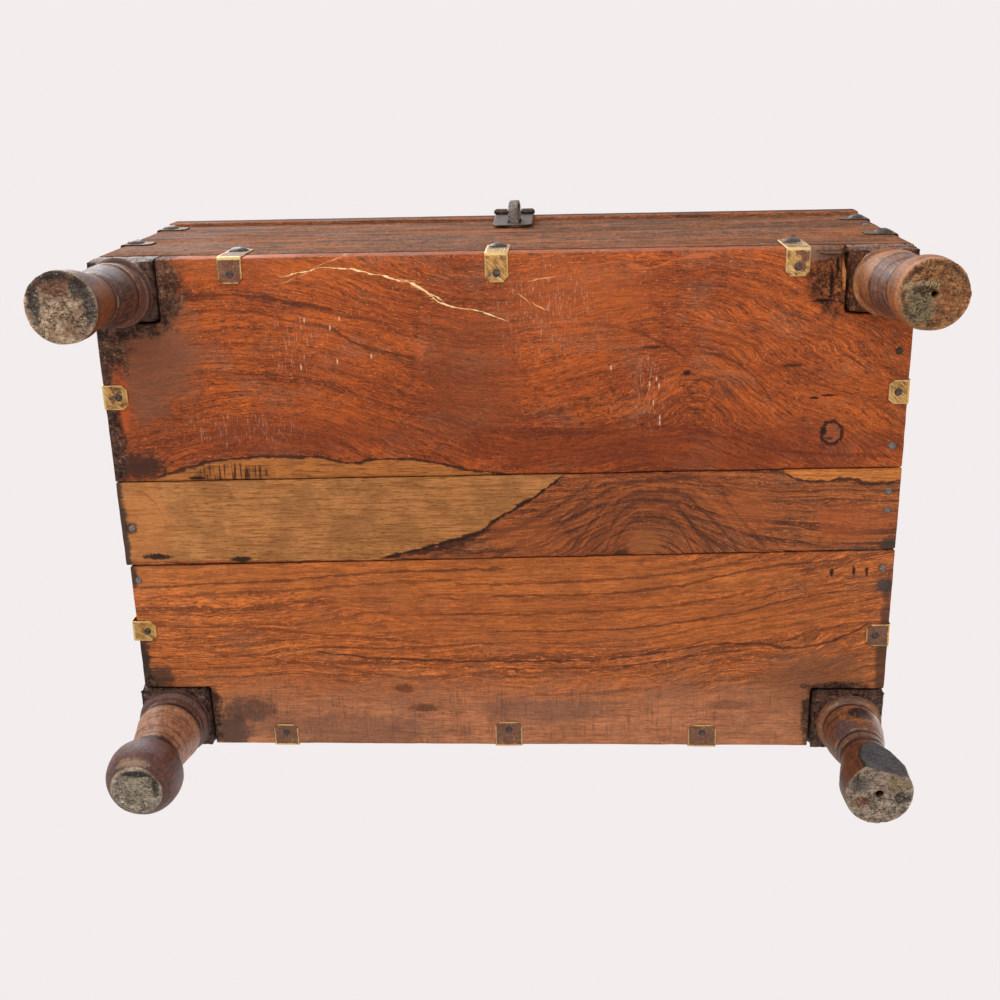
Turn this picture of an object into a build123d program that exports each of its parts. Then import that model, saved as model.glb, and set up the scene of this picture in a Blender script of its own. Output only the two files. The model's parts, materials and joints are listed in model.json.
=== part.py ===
"""Damchiya chest: a small dowry chest on turned legs, with brass clips and an iron hasp.

Millimetres. X runs along the front, Y from the front to the back, Z up.
The origin is on the floor, under the middle of the case.
"""

from build123d import *
from math import atan2, cos, degrees, pi, sqrt
import os

os.makedirs("parts", exist_ok=True)

# ---- Driving dimensions ----

# Case
box_length = 610.0
box_depth = 406.0
leg_height = 115.0
bottom_thickness = 20.0
wall_height = 185.0
wall_thickness = 19.0
wall_arris = 1.5

# Bottom boards: the two joints run a little askew
joint_front_left = -29.0
joint_front_right = -37.0
joint_rear_left = 42.0
joint_rear_right = 30.0
board_gap = 0.4
board_arris = 1.2
rear_board_short = 3.0

# Leg blocks, posts and the room left round them
front_block = (50.0, 47.0)
rear_block = (58.0, 52.0)
block_drop = 5.0
block_gap = 0.8
post_top_gap = 3.0

# Lid
lid_thickness = 22.0
lid_front_overhang = 3.0
lid_back_overhang = 14.0
lid_joint = 6.0
lid_arris = 1.5
batten_width = 38.0
batten_thickness = 16.0
batten_post_gap = 3.0
batten_end_room = 8.0

# Clips: brass strap bent round an edge and nailed
clip_thickness = 1.0
clip_end_chamfer = 4.0
clip_rise = 45.0
clip_nail_end_distance = 7.0
clip_dome_height = 32.0
bend_radius_share = 0.9
corner_clip_width = 19.0
corner_clip_reach = 24.0
corner_dome_inset = 9.0
corner_side_dome_inset = 13.5

# Nails: a domed or a flat head, hammered in facets, on a square shank that tapers
dome_radius = 7.5
dome_rise = 3.0
small_head_radius = 3.0
small_head_rise = 0.8
dome_facets = 10
dome_shoulder = (0.72, 0.6)
dome_crown = (0.3, 1.0)
small_facets = 6
small_crown = (0.5, 1.0)
shank_width = 2.4
shank_tip = 0.6
dome_nail_length = 16.0
corner_nail_length = 10.0
small_nail_length = 15.0
board_nail_length = 36.0
lid_nail_length = 34.0
strap_nail_length = 14.0
strap_nail_inset = 9.0
strap_nail_spacing = 14.0
joint_nail_height = 134.0

# Strap hinges at the back
hinge_batten_gap = 21.0
hinge_width = 30.0
hinge_leaf = 1.6
hinge_pin_radius = 1.75
hinge_play = 0.05
hinge_clearance = 0.3
knuckle_gap = 0.4
hinge_body_leaf_length = 58.0
hinge_lid_leaf_length = 72.0

# Hasp: a strap over the lid's front edge, a swinging tongue and a staple in the front wall
hasp_centre = 5.5
hasp_width = 33.5
hasp_leaf = 1.6
hasp_axis_stand = 7.8
hasp_axis_drop = 1.0
hasp_pin_radius = 1.2
hasp_pin_head = 1.9
hasp_pin_head_length = 1.2
hasp_tongue_tail = 8.0
hasp_tongue_corner = 4.0
hasp_tilt = 4.0
hasp_strap_length = 62.0
hasp_joggle = 9.0
hasp_nail_offset = 8.0

# Staple: a flat strap bent into a loop, driven through the wall and clenched inside
staple_width = 7.5
staple_strap = 3.0
staple_eye = 9.0
staple_reach = 21.2
staple_drop = 33.0
staple_clench = 14.0
staple_centre = 7.0
slot_side_play = 1.6
slot_top_play = 1.0
slot_bottom_play = 5.0

# ---- Faces and levels that follow from them ----

half_length = box_length / 2
half_depth = box_depth / 2
lid_face = -half_depth - lid_front_overhang
underside = leg_height
wall_bottom = underside + bottom_thickness
wall_top = wall_bottom + wall_height
lid_top = wall_top + lid_thickness
inner_length = half_length - wall_thickness
inner_depth = half_depth - wall_thickness
batten_x = half_length - rear_block[0] - batten_post_gap - batten_width / 2
hinge_x = batten_x - batten_width / 2 - hinge_batten_gap - hinge_width / 2

left = Vector(-1, 0, 0)
right = Vector(1, 0, 0)
front = Vector(0, -1, 0)
back = Vector(0, 1, 0)
up = Vector(0, 0, 1)
down = Vector(0, 0, -1)


def at_corner(one, other, level):
    """The point at a level on the upright corner between two outer faces of the case."""
    facing = one + other
    return Vector(facing.X * half_length, facing.Y * half_depth, level)


def save(part, name):
    """Label a finished piece and write it out."""
    part.label = name
    export_step(part, f"parts/{name}.step")


def block(low, high):
    """Add a square-edged block between two corners."""
    size = [b - a for a, b in zip(low, high)]
    middle = [(a + b) / 2 for a, b in zip(low, high)]
    with Locations(tuple(middle)):
        Box(*size)


# ---- Nails ----


def nail(seat, outward, radius, rise, facets, steps, length):
    """A nail whose hammered head sits at a point on a face and whose shank goes into it.

    The head climbs in steps, each the share of the radius and of the rise that it ends at.
    """
    face = Plane(origin=seat, z_dir=outward)
    with BuildPart() as made:
        share_of_radius, share_of_rise = 1.0, 0.0
        for next_radius, next_rise in steps:
            with BuildSketch(face.offset(rise * share_of_rise)) as ring:
                RegularPolygon(radius * share_of_radius, facets)
            height = rise * (next_rise - share_of_rise)
            inset = radius * (share_of_radius - next_radius) * cos(pi / facets)
            extrude(ring.sketch, amount=height, taper=degrees(atan2(inset, height)))
            share_of_radius, share_of_rise = next_radius, next_rise
        with BuildSketch(Plane(origin=seat, z_dir=-outward)) as shank:
            Rectangle(shank_width, shank_width)
        narrowing = degrees(atan2((shank_width - shank_tip) / 2, length))
        extrude(shank.sketch, amount=length, taper=narrowing)
    return made.part


def dome_nail(seat, outward, length=dome_nail_length):
    """A hand-forged nail with a broad dome."""
    steps = (dome_shoulder, dome_crown)
    return nail(seat, outward, dome_radius, dome_rise, dome_facets, steps, length)


def small_nail(seat, outward, length=small_nail_length):
    """A nail with a small, nearly flat head."""
    steps = (small_crown,)
    return nail(seat, outward, small_head_radius, small_head_rise, small_facets, steps, length)


def save_nails(nails, name):
    """Write a group of like nails as one node of separate solids."""
    save(Compound(children=list(nails)), name)


# ---- Clips ----


def clip_leg(corner, outward, across, width, reach):
    """Add one leg of a clip: a strip with its end corners cut off, lying on a face."""
    side = width / 2
    shoulder = reach - clip_end_chamfer
    with BuildSketch(Plane(origin=corner, x_dir=across, z_dir=outward)) as strip:
        with BuildLine():
            Polyline(
                (-side, -clip_thickness),
                (side, -clip_thickness),
                (side, shoulder),
                (side - clip_end_chamfer, reach),
                (-side + clip_end_chamfer, reach),
                (-side, shoulder),
                close=True,
            )
        make_face()
    extrude(strip.sketch, amount=clip_thickness)


def bent_clip(corner, first, second, width, first_reach, second_reach, nails):
    """A strap bent round an edge; first and second are the outward normals of its faces."""
    across = first.cross(second)
    bend = corner + (first + second) * clip_thickness
    with BuildPart() as made:
        clip_leg(corner, first, across, width, first_reach)
        clip_leg(corner, second, -across, width, second_reach)
        fillet(made.edges().sort_by_distance(bend)[0], clip_thickness * bend_radius_share)
        add(nails, mode=Mode.SUBTRACT)
    return made.part


# Bottom clips: the face, the end that its place is measured from and the distance from
# there, then the width and the reach over the underside
bottom_clips = {
    "front_clip_left": (front, left, 107.0, 18.4, 19.0),
    "front_clip_middle": (front, left, half_length, 17.5, 21.0),
    "front_clip_right": (front, right, 86.5, 18.0, 20.0),
    "back_clip_left": (back, left, 119.5, 20.5, 19.0),
    "back_clip_middle": (back, left, half_length + 1.0, 22.5, 22.0),
    "back_clip_right": (back, right, 145.0, 23.0, 20.0),
    "left_clip_front": (left, front, 105.0, 19.5, 19.0),
    "left_clip_back": (left, back, 104.5, 17.5, 19.0),
    "right_clip_front": (right, front, 107.0, 18.5, 15.0),
    "right_clip_back": (right, back, 100.5, 19.0, 18.0),
}

bottom_clip_domes = []
clip_nails = []
for name, (outward, end, distance, width, reach) in bottom_clips.items():
    box_corner = at_corner(outward, end, underside)
    corner = box_corner - end * distance
    dome = dome_nail(corner + up * clip_dome_height + outward * clip_thickness, outward)
    inset = reach - clip_nail_end_distance
    small = small_nail(corner - outward * inset + down * clip_thickness, down)
    save(bent_clip(corner, outward, down, width, clip_rise, reach, [dome, small]), name)
    bottom_clip_domes.append(dome)
    clip_nails.append(small)
save_nails(bottom_clip_domes, "bottom_clip_dome_nails")
save_nails(clip_nails, "clip_nails")

# Corner clips: the lower one's height above the underside, and the upper one's depth
# below the top of the wall, at each upright corner
corner_clip_heights = {
    "front_left": (front, left, 88.0, 21.0),
    "front_right": (front, right, 77.0, 31.0),
    "back_left": (back, left, 85.0, 25.0),
    "back_right": (back, right, 82.0, 29.0),
}

corner_clip_domes = []
for corner_name, (facing, end, rise, drop) in corner_clip_heights.items():
    for level_name, level in (("lower", underside + rise), ("upper", wall_top - drop)):
        corner = at_corner(facing, end, level)
        on_face = corner - end * corner_dome_inset + facing * clip_thickness
        on_end = corner - facing * corner_side_dome_inset + end * clip_thickness
        domes = [
            dome_nail(on_face, facing, corner_nail_length),
            dome_nail(on_end, end, corner_nail_length),
        ]
        clip = bent_clip(
            corner,
            facing,
            end,
            corner_clip_width,
            corner_clip_reach,
            corner_clip_reach,
            domes,
        )
        save(clip, f"corner_clip_{corner_name}_{level_name}")
        corner_clip_domes.extend(domes)
save_nails(corner_clip_domes, "corner_clip_dome_nails")

# ---- Nails that hold wood to wood ----

# Up through the bottom boards into the end walls, each at a distance from the nearest joint
# or, in the front board, from the front
wall_nail_line = half_length - wall_thickness / 2
board_nail_places = (
    (left, joint_rear_left - 33.0),
    (left, joint_rear_left + 12.0),
    (right, -half_depth + 76.0),
    (right, joint_front_right - 17.0),
    (right, joint_front_right + 19.0),
    (right, joint_rear_right - 33.0),
    (right, joint_rear_right + 15.0),
)
board_nails = [
    small_nail(Vector(side.X * wall_nail_line, y, underside), down, board_nail_length)
    for side, y in board_nail_places
]
save_nails(board_nails, "board_nails")

# Through the long walls into the ends of the short ones
joint_nails = [
    small_nail(
        Vector(side.X * wall_nail_line, facing.Y * half_depth, underside + joint_nail_height),
        facing,
        board_nail_length,
    )
    for facing, side in ((front, right), (back, left), (back, right))
]
save_nails(joint_nails, "wall_joint_nails")

# ---- Strap hinges ----

hinge_axis_y = half_depth + hinge_pin_radius + hinge_play + hinge_leaf
hinge_axis_z = wall_top - hinge_pin_radius - hinge_play - hinge_leaf
hinge_knuckle = hinge_axis_y - half_depth - hinge_clearance
lid_knuckle_width = hinge_width / 3


def rod(axis_y, axis_z, radius, low_x, high_x, mode=Mode.ADD):
    """Add or cut a rod along X between two places."""
    with BuildSketch(Plane.YZ.offset(low_x)) as section:
        with Locations((axis_y, axis_z)):
            Circle(radius)
    extrude(section.sketch, amount=high_x - low_x, mode=mode)


def nail_line(strap_length, count):
    """Distances along a strap of evenly spaced nails, from the one nearest its end."""
    return [strap_length - strap_nail_inset - strap_nail_spacing * n for n in range(count)]


def hinge(side_name, centre_x):
    """Both leaves, the pin and the nails of one hinge; returns the nails in wall and lid."""
    middle = lid_knuckle_width / 2
    edge = hinge_width / 2
    swing = hinge_knuckle + knuckle_gap
    wall_seats = [
        Vector(centre_x, half_depth + hinge_leaf, hinge_axis_z - drop)
        for drop in nail_line(hinge_body_leaf_length, 2)
    ]
    wall_nails = [small_nail(seat, back, strap_nail_length) for seat in wall_seats]
    lid_seats = [
        Vector(centre_x, hinge_axis_y - reach, wall_top - hinge_leaf)
        for reach in nail_line(hinge_lid_leaf_length, 3)
    ]
    lid_nails = [small_nail(seat, down, strap_nail_length) for seat in lid_seats]

    with BuildPart() as body_leaf:
        block(
            (centre_x - edge, half_depth, hinge_axis_z - hinge_body_leaf_length),
            (centre_x + edge, half_depth + hinge_leaf, hinge_axis_z),
        )
        bottom_edges = body_leaf.edges().filter_by(Axis.Y).group_by(Axis.Z)[0]
        chamfer(bottom_edges, clip_end_chamfer)
        rod(hinge_axis_y, hinge_axis_z, hinge_knuckle, centre_x - edge, centre_x + edge)
        rod(hinge_axis_y, hinge_axis_z, hinge_pin_radius, centre_x - edge, centre_x + edge,
            Mode.SUBTRACT)
        with Locations((centre_x, hinge_axis_y, hinge_axis_z)):
            Box(lid_knuckle_width + 2 * knuckle_gap, 2 * swing, 2 * swing, mode=Mode.SUBTRACT)
        add(wall_nails, mode=Mode.SUBTRACT)
    save(body_leaf.part, f"hinge_body_leaf_{side_name}")

    with BuildPart() as lid_leaf:
        block(
            (centre_x - edge, hinge_axis_y - hinge_lid_leaf_length, wall_top - hinge_leaf),
            (centre_x + edge, half_depth - knuckle_gap, wall_top),
        )
        front_edges = lid_leaf.edges().filter_by(Axis.Z).group_by(Axis.Y)[0]
        chamfer(front_edges, clip_end_chamfer)
        block(
            (centre_x - middle, half_depth - 2 * knuckle_gap, wall_top - hinge_leaf),
            (centre_x + middle, hinge_axis_y, wall_top),
        )
        rod(hinge_axis_y, hinge_axis_z, hinge_knuckle, centre_x - middle, centre_x + middle)
        rod(hinge_axis_y, hinge_axis_z, hinge_pin_radius + hinge_play, centre_x - middle,
            centre_x + middle, Mode.SUBTRACT)
        add(lid_nails, mode=Mode.SUBTRACT)
    save(lid_leaf.part, f"hinge_lid_leaf_{side_name}")

    with BuildPart() as pin:
        rod(hinge_axis_y, hinge_axis_z, hinge_pin_radius, centre_x - edge, centre_x + edge)
    save(pin.part, f"hinge_pin_{side_name}")
    return wall_nails, lid_nails


hinge_places = {"left": -hinge_x, "right": hinge_x}
hinge_wall_nails = []
hinge_lid_nails = []
for side_name, centre_x in hinge_places.items():
    in_wall, in_lid = hinge(side_name, centre_x)
    hinge_wall_nails.extend(in_wall)
    hinge_lid_nails.extend(in_lid)
save_nails(hinge_wall_nails, "hinge_wall_nails")
save_nails(hinge_lid_nails, "hinge_lid_nails")

# ---- Staple ----

hasp_axis_y = -half_depth - hasp_axis_stand
hasp_axis_z = wall_top - hasp_axis_drop
staple_z = hasp_axis_z - staple_drop
staple_half = staple_eye / 2 + staple_strap
staple_low = staple_z - staple_half
staple_high = staple_z + staple_half

with BuildPart() as staple:
    bow_y = -half_depth - staple_reach + staple_half
    inside = -inner_depth
    with BuildSketch(Plane.YZ.offset(staple_centre - staple_width / 2)):
        with BuildLine():
            Line((inside + staple_strap, staple_low), (bow_y, staple_low))
            RadiusArc((bow_y, staple_low), (bow_y, staple_high), staple_half)
            Line((bow_y, staple_high), (inside + staple_strap, staple_high))
            Line((inside + staple_strap, staple_high), (inside + staple_strap, staple_low))
        make_face()
        with BuildLine():
            bore_low = staple_low + staple_strap
            bore_high = staple_high - staple_strap
            Line((inside + staple_strap, bore_low), (bow_y, bore_low))
            RadiusArc((bow_y, bore_low), (bow_y, bore_high), staple_eye / 2)
            Line((bow_y, bore_high), (inside + staple_strap, bore_high))
            Line((inside + staple_strap, bore_high), (inside + staple_strap, bore_low))
        make_face(mode=Mode.SUBTRACT)
    extrude(amount=staple_width)
    for low in (staple_low - staple_clench, staple_high):
        block(
            (staple_centre - staple_width / 2, inside, low),
            (staple_centre + staple_width / 2, inside + staple_strap, low + staple_clench),
        )
save(staple.part, "staple")

# ---- Hasp ----

hasp_knuckle = hasp_pin_radius + hasp_leaf
hasp_edge = hasp_width / 2
hasp_middle = hasp_width / 6
strap_seats = [
    Vector(hasp_centre + side * hasp_nail_offset, lid_face + reach, lid_top + hasp_leaf)
    for side, reach in zip((-1, 1), nail_line(hasp_strap_length, 2))
]
strap_nails = [small_nail(seat, up, strap_nail_length) for seat in strap_seats]


def hasp_rod(radius, low_x, high_x, mode=Mode.ADD):
    """Add or cut a rod on the hasp's axis, at places measured from the hasp's middle."""
    rod(hasp_axis_y, hasp_axis_z, radius, hasp_centre + low_x, hasp_centre + high_x, mode)


with BuildPart() as hasp_strap:
    strap_top = lid_top + hasp_leaf
    strap_front = lid_face - hasp_leaf
    eye_back = hasp_axis_y + hasp_knuckle
    joggle_top = hasp_axis_z + hasp_joggle
    with BuildSketch(Plane.YZ.offset(hasp_centre - hasp_edge)):
        with BuildLine():
            Polyline(
                (lid_face + hasp_strap_length, lid_top),
                (lid_face + hasp_strap_length, strap_top),
                (strap_front, strap_top),
                (strap_front, joggle_top + hasp_leaf),
                (eye_back - hasp_leaf, hasp_axis_z + hasp_leaf),
                (eye_back - hasp_leaf, hasp_axis_z),
                (eye_back, hasp_axis_z),
                (eye_back, hasp_axis_z + hasp_leaf / 2),
                (lid_face, joggle_top),
                (lid_face, lid_top),
                close=True,
            )
        make_face()
    extrude(amount=hasp_width)
    top_corner = hasp_strap.edges().filter_by(Axis.X).sort_by_distance(
        Vector(hasp_centre, strap_front, strap_top)
    )[0]
    fillet(top_corner, hasp_leaf * 0.9)
    tail_corners = hasp_strap.edges().filter_by(Axis.Z).group_by(Axis.Y)[-1]
    fillet(tail_corners, hasp_tongue_corner)
    hasp_rod(hasp_knuckle, -hasp_edge, hasp_edge)
    hasp_rod(hasp_pin_radius, -hasp_edge, hasp_edge, Mode.SUBTRACT)
    with Locations((hasp_centre, hasp_axis_y, hasp_axis_z)):
        swing = hasp_knuckle + knuckle_gap
        Box(2 * (hasp_middle + knuckle_gap), 2 * swing, 2 * swing, mode=Mode.SUBTRACT)
    add(strap_nails, mode=Mode.SUBTRACT)
save(hasp_strap.part, "hasp_strap")
save_nails(strap_nails, "hasp_strap_nails")

with BuildPart() as hasp_tongue:
    plate_back = hasp_axis_y + hasp_knuckle
    plate_top = hasp_axis_z - hasp_knuckle - knuckle_gap
    slot_low = staple_low - slot_bottom_play
    slot_high = staple_high + slot_top_play
    slot_half = staple_width / 2 + slot_side_play
    plate_bottom = slot_low - hasp_tongue_tail
    block(
        (hasp_centre - hasp_edge, plate_back - hasp_leaf, plate_bottom),
        (hasp_centre + hasp_edge, plate_back, plate_top),
    )
    lower_corners = hasp_tongue.edges().filter_by(Axis.Y).group_by(Axis.Z)[0]
    chamfer(lower_corners, hasp_tongue_corner)
    block(
        (hasp_centre - hasp_middle, plate_back - hasp_leaf, plate_top - hasp_leaf),
        (hasp_centre + hasp_middle, plate_back, hasp_axis_z),
    )
    hasp_rod(hasp_knuckle, -hasp_middle, hasp_middle)
    hasp_rod(hasp_pin_radius + hinge_play, -hasp_middle, hasp_middle, Mode.SUBTRACT)
    with BuildSketch(Plane.XZ.offset(-plate_back)):
        with Locations((staple_centre, (slot_low + slot_high) / 2)):
            Rectangle(2 * slot_half, slot_high - slot_low)
    extrude(amount=hasp_leaf, mode=Mode.SUBTRACT)
# Closed, the tongue leans in against the front wall
hasp_axis = Axis((hasp_centre, hasp_axis_y, hasp_axis_z), (1, 0, 0))
save(hasp_tongue.part.rotate(hasp_axis, hasp_tilt), "hasp_tongue")

with BuildPart() as hasp_pin:
    hasp_rod(hasp_pin_radius, -hasp_edge, hasp_edge)
    for start in (-hasp_edge - hasp_pin_head_length, hasp_edge):
        hasp_rod(hasp_pin_head, start, start + hasp_pin_head_length)
save(hasp_pin.part, "hasp_pin")

# ---- Walls ----

for wall_name, facing in (("front_wall", front), ("back_wall", back)):
    outer = facing.Y * half_depth
    inner = facing.Y * inner_depth
    with BuildPart() as long_wall:
        block(
            (-half_length, min(outer, inner), wall_bottom),
            (half_length, max(outer, inner), wall_top),
        )
        worn = long_wall.edges().filter_by(Axis.Z).sort_by(Axis.Y)
        fillet(worn[:2] if facing is front else worn[-2:], wall_arris)
        add(bottom_clip_domes + corner_clip_domes + joint_nails + hinge_wall_nails,
            mode=Mode.SUBTRACT)
        if facing is front:
            for low in (staple_low, staple_high - staple_strap):
                with Locations((staple_centre, (outer + inner) / 2, low + staple_strap / 2)):
                    Box(staple_width, wall_thickness, staple_strap, mode=Mode.SUBTRACT)
        else:
            for centre_x in hinge_places.values():
                with Locations((centre_x, (outer + inner) / 2, wall_top - hinge_leaf / 2)):
                    Box(
                        hinge_width + knuckle_gap,
                        wall_thickness,
                        hinge_leaf + knuckle_gap,
                        mode=Mode.SUBTRACT,
                    )
    save(long_wall.part, wall_name)

for wall_name, side in (("left_wall", left), ("right_wall", right)):
    outer = side.X * half_length
    inner = side.X * inner_length
    with BuildPart() as short_wall:
        block(
            (min(outer, inner), -inner_depth, wall_bottom),
            (max(outer, inner), inner_depth, wall_top),
        )
        add(bottom_clip_domes + corner_clip_domes + joint_nails + board_nails,
            mode=Mode.SUBTRACT)
    save(short_wall.part, wall_name)

# ---- Bottom boards ----


def notch(side, facing, size):
    """Cut the room for a leg's block out of a board's corner."""
    length, width = size[0] + block_gap, size[1] + block_gap
    middle = (
        side.X * (half_length - length / 2),
        facing.Y * (half_depth - width / 2),
        underside + bottom_thickness / 2,
    )
    with Locations(middle):
        Box(length, width, bottom_thickness, mode=Mode.SUBTRACT)


def board(outline):
    """Add a bottom board from its four corners."""
    with BuildSketch(Plane.XY.offset(underside)) as face:
        with BuildLine():
            Polyline(*outline, close=True)
        make_face()
    extrude(face.sketch, amount=bottom_thickness)


rear_left_end = -half_length + rear_board_short
through_boards = clip_nails + board_nails

with BuildPart() as bottom_board_front:
    board([
        (-half_length, -half_depth),
        (half_length, -half_depth),
        (half_length, joint_front_right - board_gap / 2),
        (-half_length, joint_front_left - board_gap / 2),
    ])
    notch(left, front, front_block)
    notch(right, front, front_block)
    fillet(bottom_board_front.edges().filter_by(Axis.X).group_by(Axis.Y)[0].sort_by(Axis.Z)[0],
           board_arris)
    add(through_boards, mode=Mode.SUBTRACT)
save(bottom_board_front.part, "bottom_board_front")

with BuildPart() as bottom_board_middle:
    board([
        (-half_length, joint_front_left + board_gap / 2),
        (half_length, joint_front_right + board_gap / 2),
        (half_length, joint_rear_right - board_gap / 2),
        (-half_length, joint_rear_left - board_gap / 2),
    ])
    add(through_boards, mode=Mode.SUBTRACT)
save(bottom_board_middle.part, "bottom_board_middle")

with BuildPart() as bottom_board_rear:
    board([
        (rear_left_end, joint_rear_left + board_gap / 2),
        (half_length, joint_rear_right + board_gap / 2),
        (half_length, half_depth),
        (rear_left_end, half_depth),
    ])
    notch(left, back, rear_block)
    notch(right, back, rear_block)
    fillet(bottom_board_rear.edges().filter_by(Axis.X).group_by(Axis.Y)[-1].sort_by(Axis.Z)[0],
           board_arris)
    add(through_boards, mode=Mode.SUBTRACT)
save(bottom_board_rear.part, "bottom_board_rear")

# ---- Legs ----

# Each leg was turned by hand, so each has its own outline. The ring and the vase are measured
# down from the block, and the foot up from the floor, as pairs of radius and height.
# sink lets a leaning foot reach below the floor before it is sawn level.
sink = 5.0
turned_top = underside - block_drop


def shaft(ring, shoulder, vase, waist, neck_radius, rim):
    """Draw the outline from the block over the ring and the vase, through the neck, to the foot."""
    ring_radius, ring_height = ring
    bevel = ring_height / 3
    waist_point = (waist[0], turned_top - waist[1])
    neck_point = (neck_radius, (waist_point[1] + rim[1]) / 2)
    Polyline(
        (0, turned_top),
        (ring_radius - bevel, turned_top),
        (ring_radius, turned_top - bevel),
        (ring_radius, turned_top - ring_height + bevel),
        (ring_radius - bevel, turned_top - ring_height),
        (shoulder, turned_top - ring_height),
        (vase[0], turned_top - vase[1]),
        waist_point,
    )
    ThreePointArc(waist_point, neck_point, rim)


def drum_foot(rim, swell, sole_radius):
    """Draw a foot with nearly straight sides, from its rim to the sole, and close the outline."""
    Polyline(rim, swell, (sole_radius, 0), (sole_radius, -sink), (0, -sink), (0, turned_top))


def ball_foot(rim, ball_radius, sole_radius):
    """Draw a round foot, from where it meets the neck to the sole, and close the outline."""
    RadiusArc(rim, (sole_radius, 0), ball_radius)
    Polyline((sole_radius, 0), (sole_radius, -sink), (0, -sink), (0, turned_top))


def sole_centre(side, facing, size, lean):
    """The middle of the sole: under the middle of the block, moved outwards by the lean."""
    corner = at_corner(side, facing, 0)
    return corner - side * (size[0] / 2 - lean[0]) - facing * (size[1] / 2 - lean[1])


def turned_foot(side, facing, size, lean, upper, foot, lower):
    """Add the turned part of a leg round its leaning axis, and saw it level with the floor."""
    sole = sole_centre(side, facing, size, lean)
    block_middle = sole_centre(side, facing, size, (0, 0)) + up * turned_top
    direction = (block_middle - sole).normalized()
    outwards = direction.cross(back).normalized()
    start = block_middle - direction * turned_top
    with BuildSketch(Plane(origin=start, x_dir=outwards, z_dir=outwards.cross(direction))) as half:
        with BuildLine():
            shaft(*upper, lower[0])
            foot(*lower)
        make_face()
    revolve(half.sketch, axis=Axis(start, direction))
    split(bisect_by=Plane.XY, keep=Keep.TOP)


def post(side, facing, size):
    """Add the block that the boards are cut round and the post above it in the corner."""
    outer = at_corner(side, facing, turned_top)
    inner = outer - side * size[0] - facing * size[1]
    post_outer = outer - side * wall_thickness - facing * wall_thickness
    for near, low, high in (
        (outer, turned_top, wall_bottom),
        (post_outer, wall_bottom, wall_top - post_top_gap),
    ):
        block(
            (min(near.X, inner.X), min(near.Y, inner.Y), low),
            (max(near.X, inner.X), max(near.Y, inner.Y), high),
        )


def lathe_hole(sole, radius, depth):
    """Bore the hole that the lathe's centre left in a sole."""
    with Locations(sole):
        Cylinder(radius, 2 * depth, mode=Mode.SUBTRACT)


# How far each sole stands outside the middle of its block, sideways and front to back
lean_front_left = (2.5, 8.5)
lean_front_right = (5.5, 9.0)
lean_rear_left = (-1.0, 1.5)
lean_rear_right = (1.0, -0.5)

with BuildPart() as leg_front_left:
    turned_foot(
        left,
        front,
        front_block,
        lean_front_left,
        upper=((26.5, 11.0), 22.5, (23.8, 26.0), (21.5, 48.0), 19.5),
        foot=drum_foot,
        lower=((22.5, 29.0), (24.8, 14.0), 25.2),
    )
    post(left, front, front_block)
save(leg_front_left.part, "leg_front_left")

front_right_hole_radius = 1.7
front_right_hole_depth = 8.0

with BuildPart() as leg_front_right:
    turned_foot(
        right,
        front,
        front_block,
        lean_front_right,
        upper=((25.0, 10.0), 22.0, (24.2, 28.0), (21.5, 54.0), 19.8),
        foot=drum_foot,
        lower=((24.2, 23.0), (24.7, 11.0), 23.3),
    )
    post(right, front, front_block)
    lathe_hole(
        sole_centre(right, front, front_block, lean_front_right),
        front_right_hole_radius,
        front_right_hole_depth,
    )
save(leg_front_right.part, "leg_front_right")

ball_radius = 29.4
ball_neck_radius = 21.1
ball_sole_radius = 18.9
ball_height = sqrt(ball_radius**2 - ball_neck_radius**2) + sqrt(ball_radius**2 - ball_sole_radius**2)

with BuildPart() as leg_rear_left:
    turned_foot(
        left,
        back,
        rear_block,
        lean_rear_left,
        upper=((30.0, 11.0), 25.2, (26.4, 24.0), (22.8, 46.0), 20.5),
        foot=ball_foot,
        lower=((ball_neck_radius, ball_height), ball_radius, ball_sole_radius),
    )
    post(left, back, rear_block)
save(leg_rear_left.part, "leg_rear_left")

# The club foot is worn flat on one side, towards the front
rear_right_sole_radius = 25.0
rear_right_hole_radius = 2.6
rear_right_hole_depth = 12.0
worn_flat_depth = 6.0
worn_flat_height = 44.0
worn_flat_facing = Vector(0.25, -0.97, 0).normalized()
rear_right_sole = sole_centre(right, back, rear_block, lean_rear_right)
worn_flat_face = rear_right_sole + worn_flat_facing * (rear_right_sole_radius - worn_flat_depth)

with BuildPart() as leg_rear_right:
    turned_foot(
        right,
        back,
        rear_block,
        lean_rear_right,
        upper=((26.5, 10.0), 22.6, (23.4, 26.0), (20.2, 42.0), 18.2),
        foot=drum_foot,
        lower=((22.0, 36.0), (26.0, 18.0), rear_right_sole_radius),
    )
    with BuildSketch(Plane(origin=worn_flat_face, x_dir=up, z_dir=worn_flat_facing)) as flat:
        Rectangle(2 * worn_flat_height, 3 * rear_right_sole_radius)
    extrude(flat.sketch, amount=2 * rear_right_sole_radius, mode=Mode.SUBTRACT)
    post(right, back, rear_block)
    lathe_hole(rear_right_sole, rear_right_hole_radius, rear_right_hole_depth)
save(leg_rear_right.part, "leg_rear_right")

# ---- Lid ----

lid_back = half_depth + lid_back_overhang
batten_low = wall_top - batten_thickness
batten_end = inner_depth - batten_end_room
batten_places = {"left": -batten_x, "right": batten_x}
lid_nail_rows = (-batten_end + 36.0, lid_joint - 46.0, lid_joint + 54.0, batten_end - 31.0)
lid_nail_stagger = (-8.0, 8.0, -8.0, 8.0)
lid_nail_places = [
    (centre_x + offset, y)
    for centre_x in batten_places.values()
    for offset, y in zip(lid_nail_stagger, lid_nail_rows)
]
lid_nails = [small_nail(Vector(x, y, lid_top), up, lid_nail_length) for x, y in lid_nail_places]
save_nails(lid_nails, "lid_nails")

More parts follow.
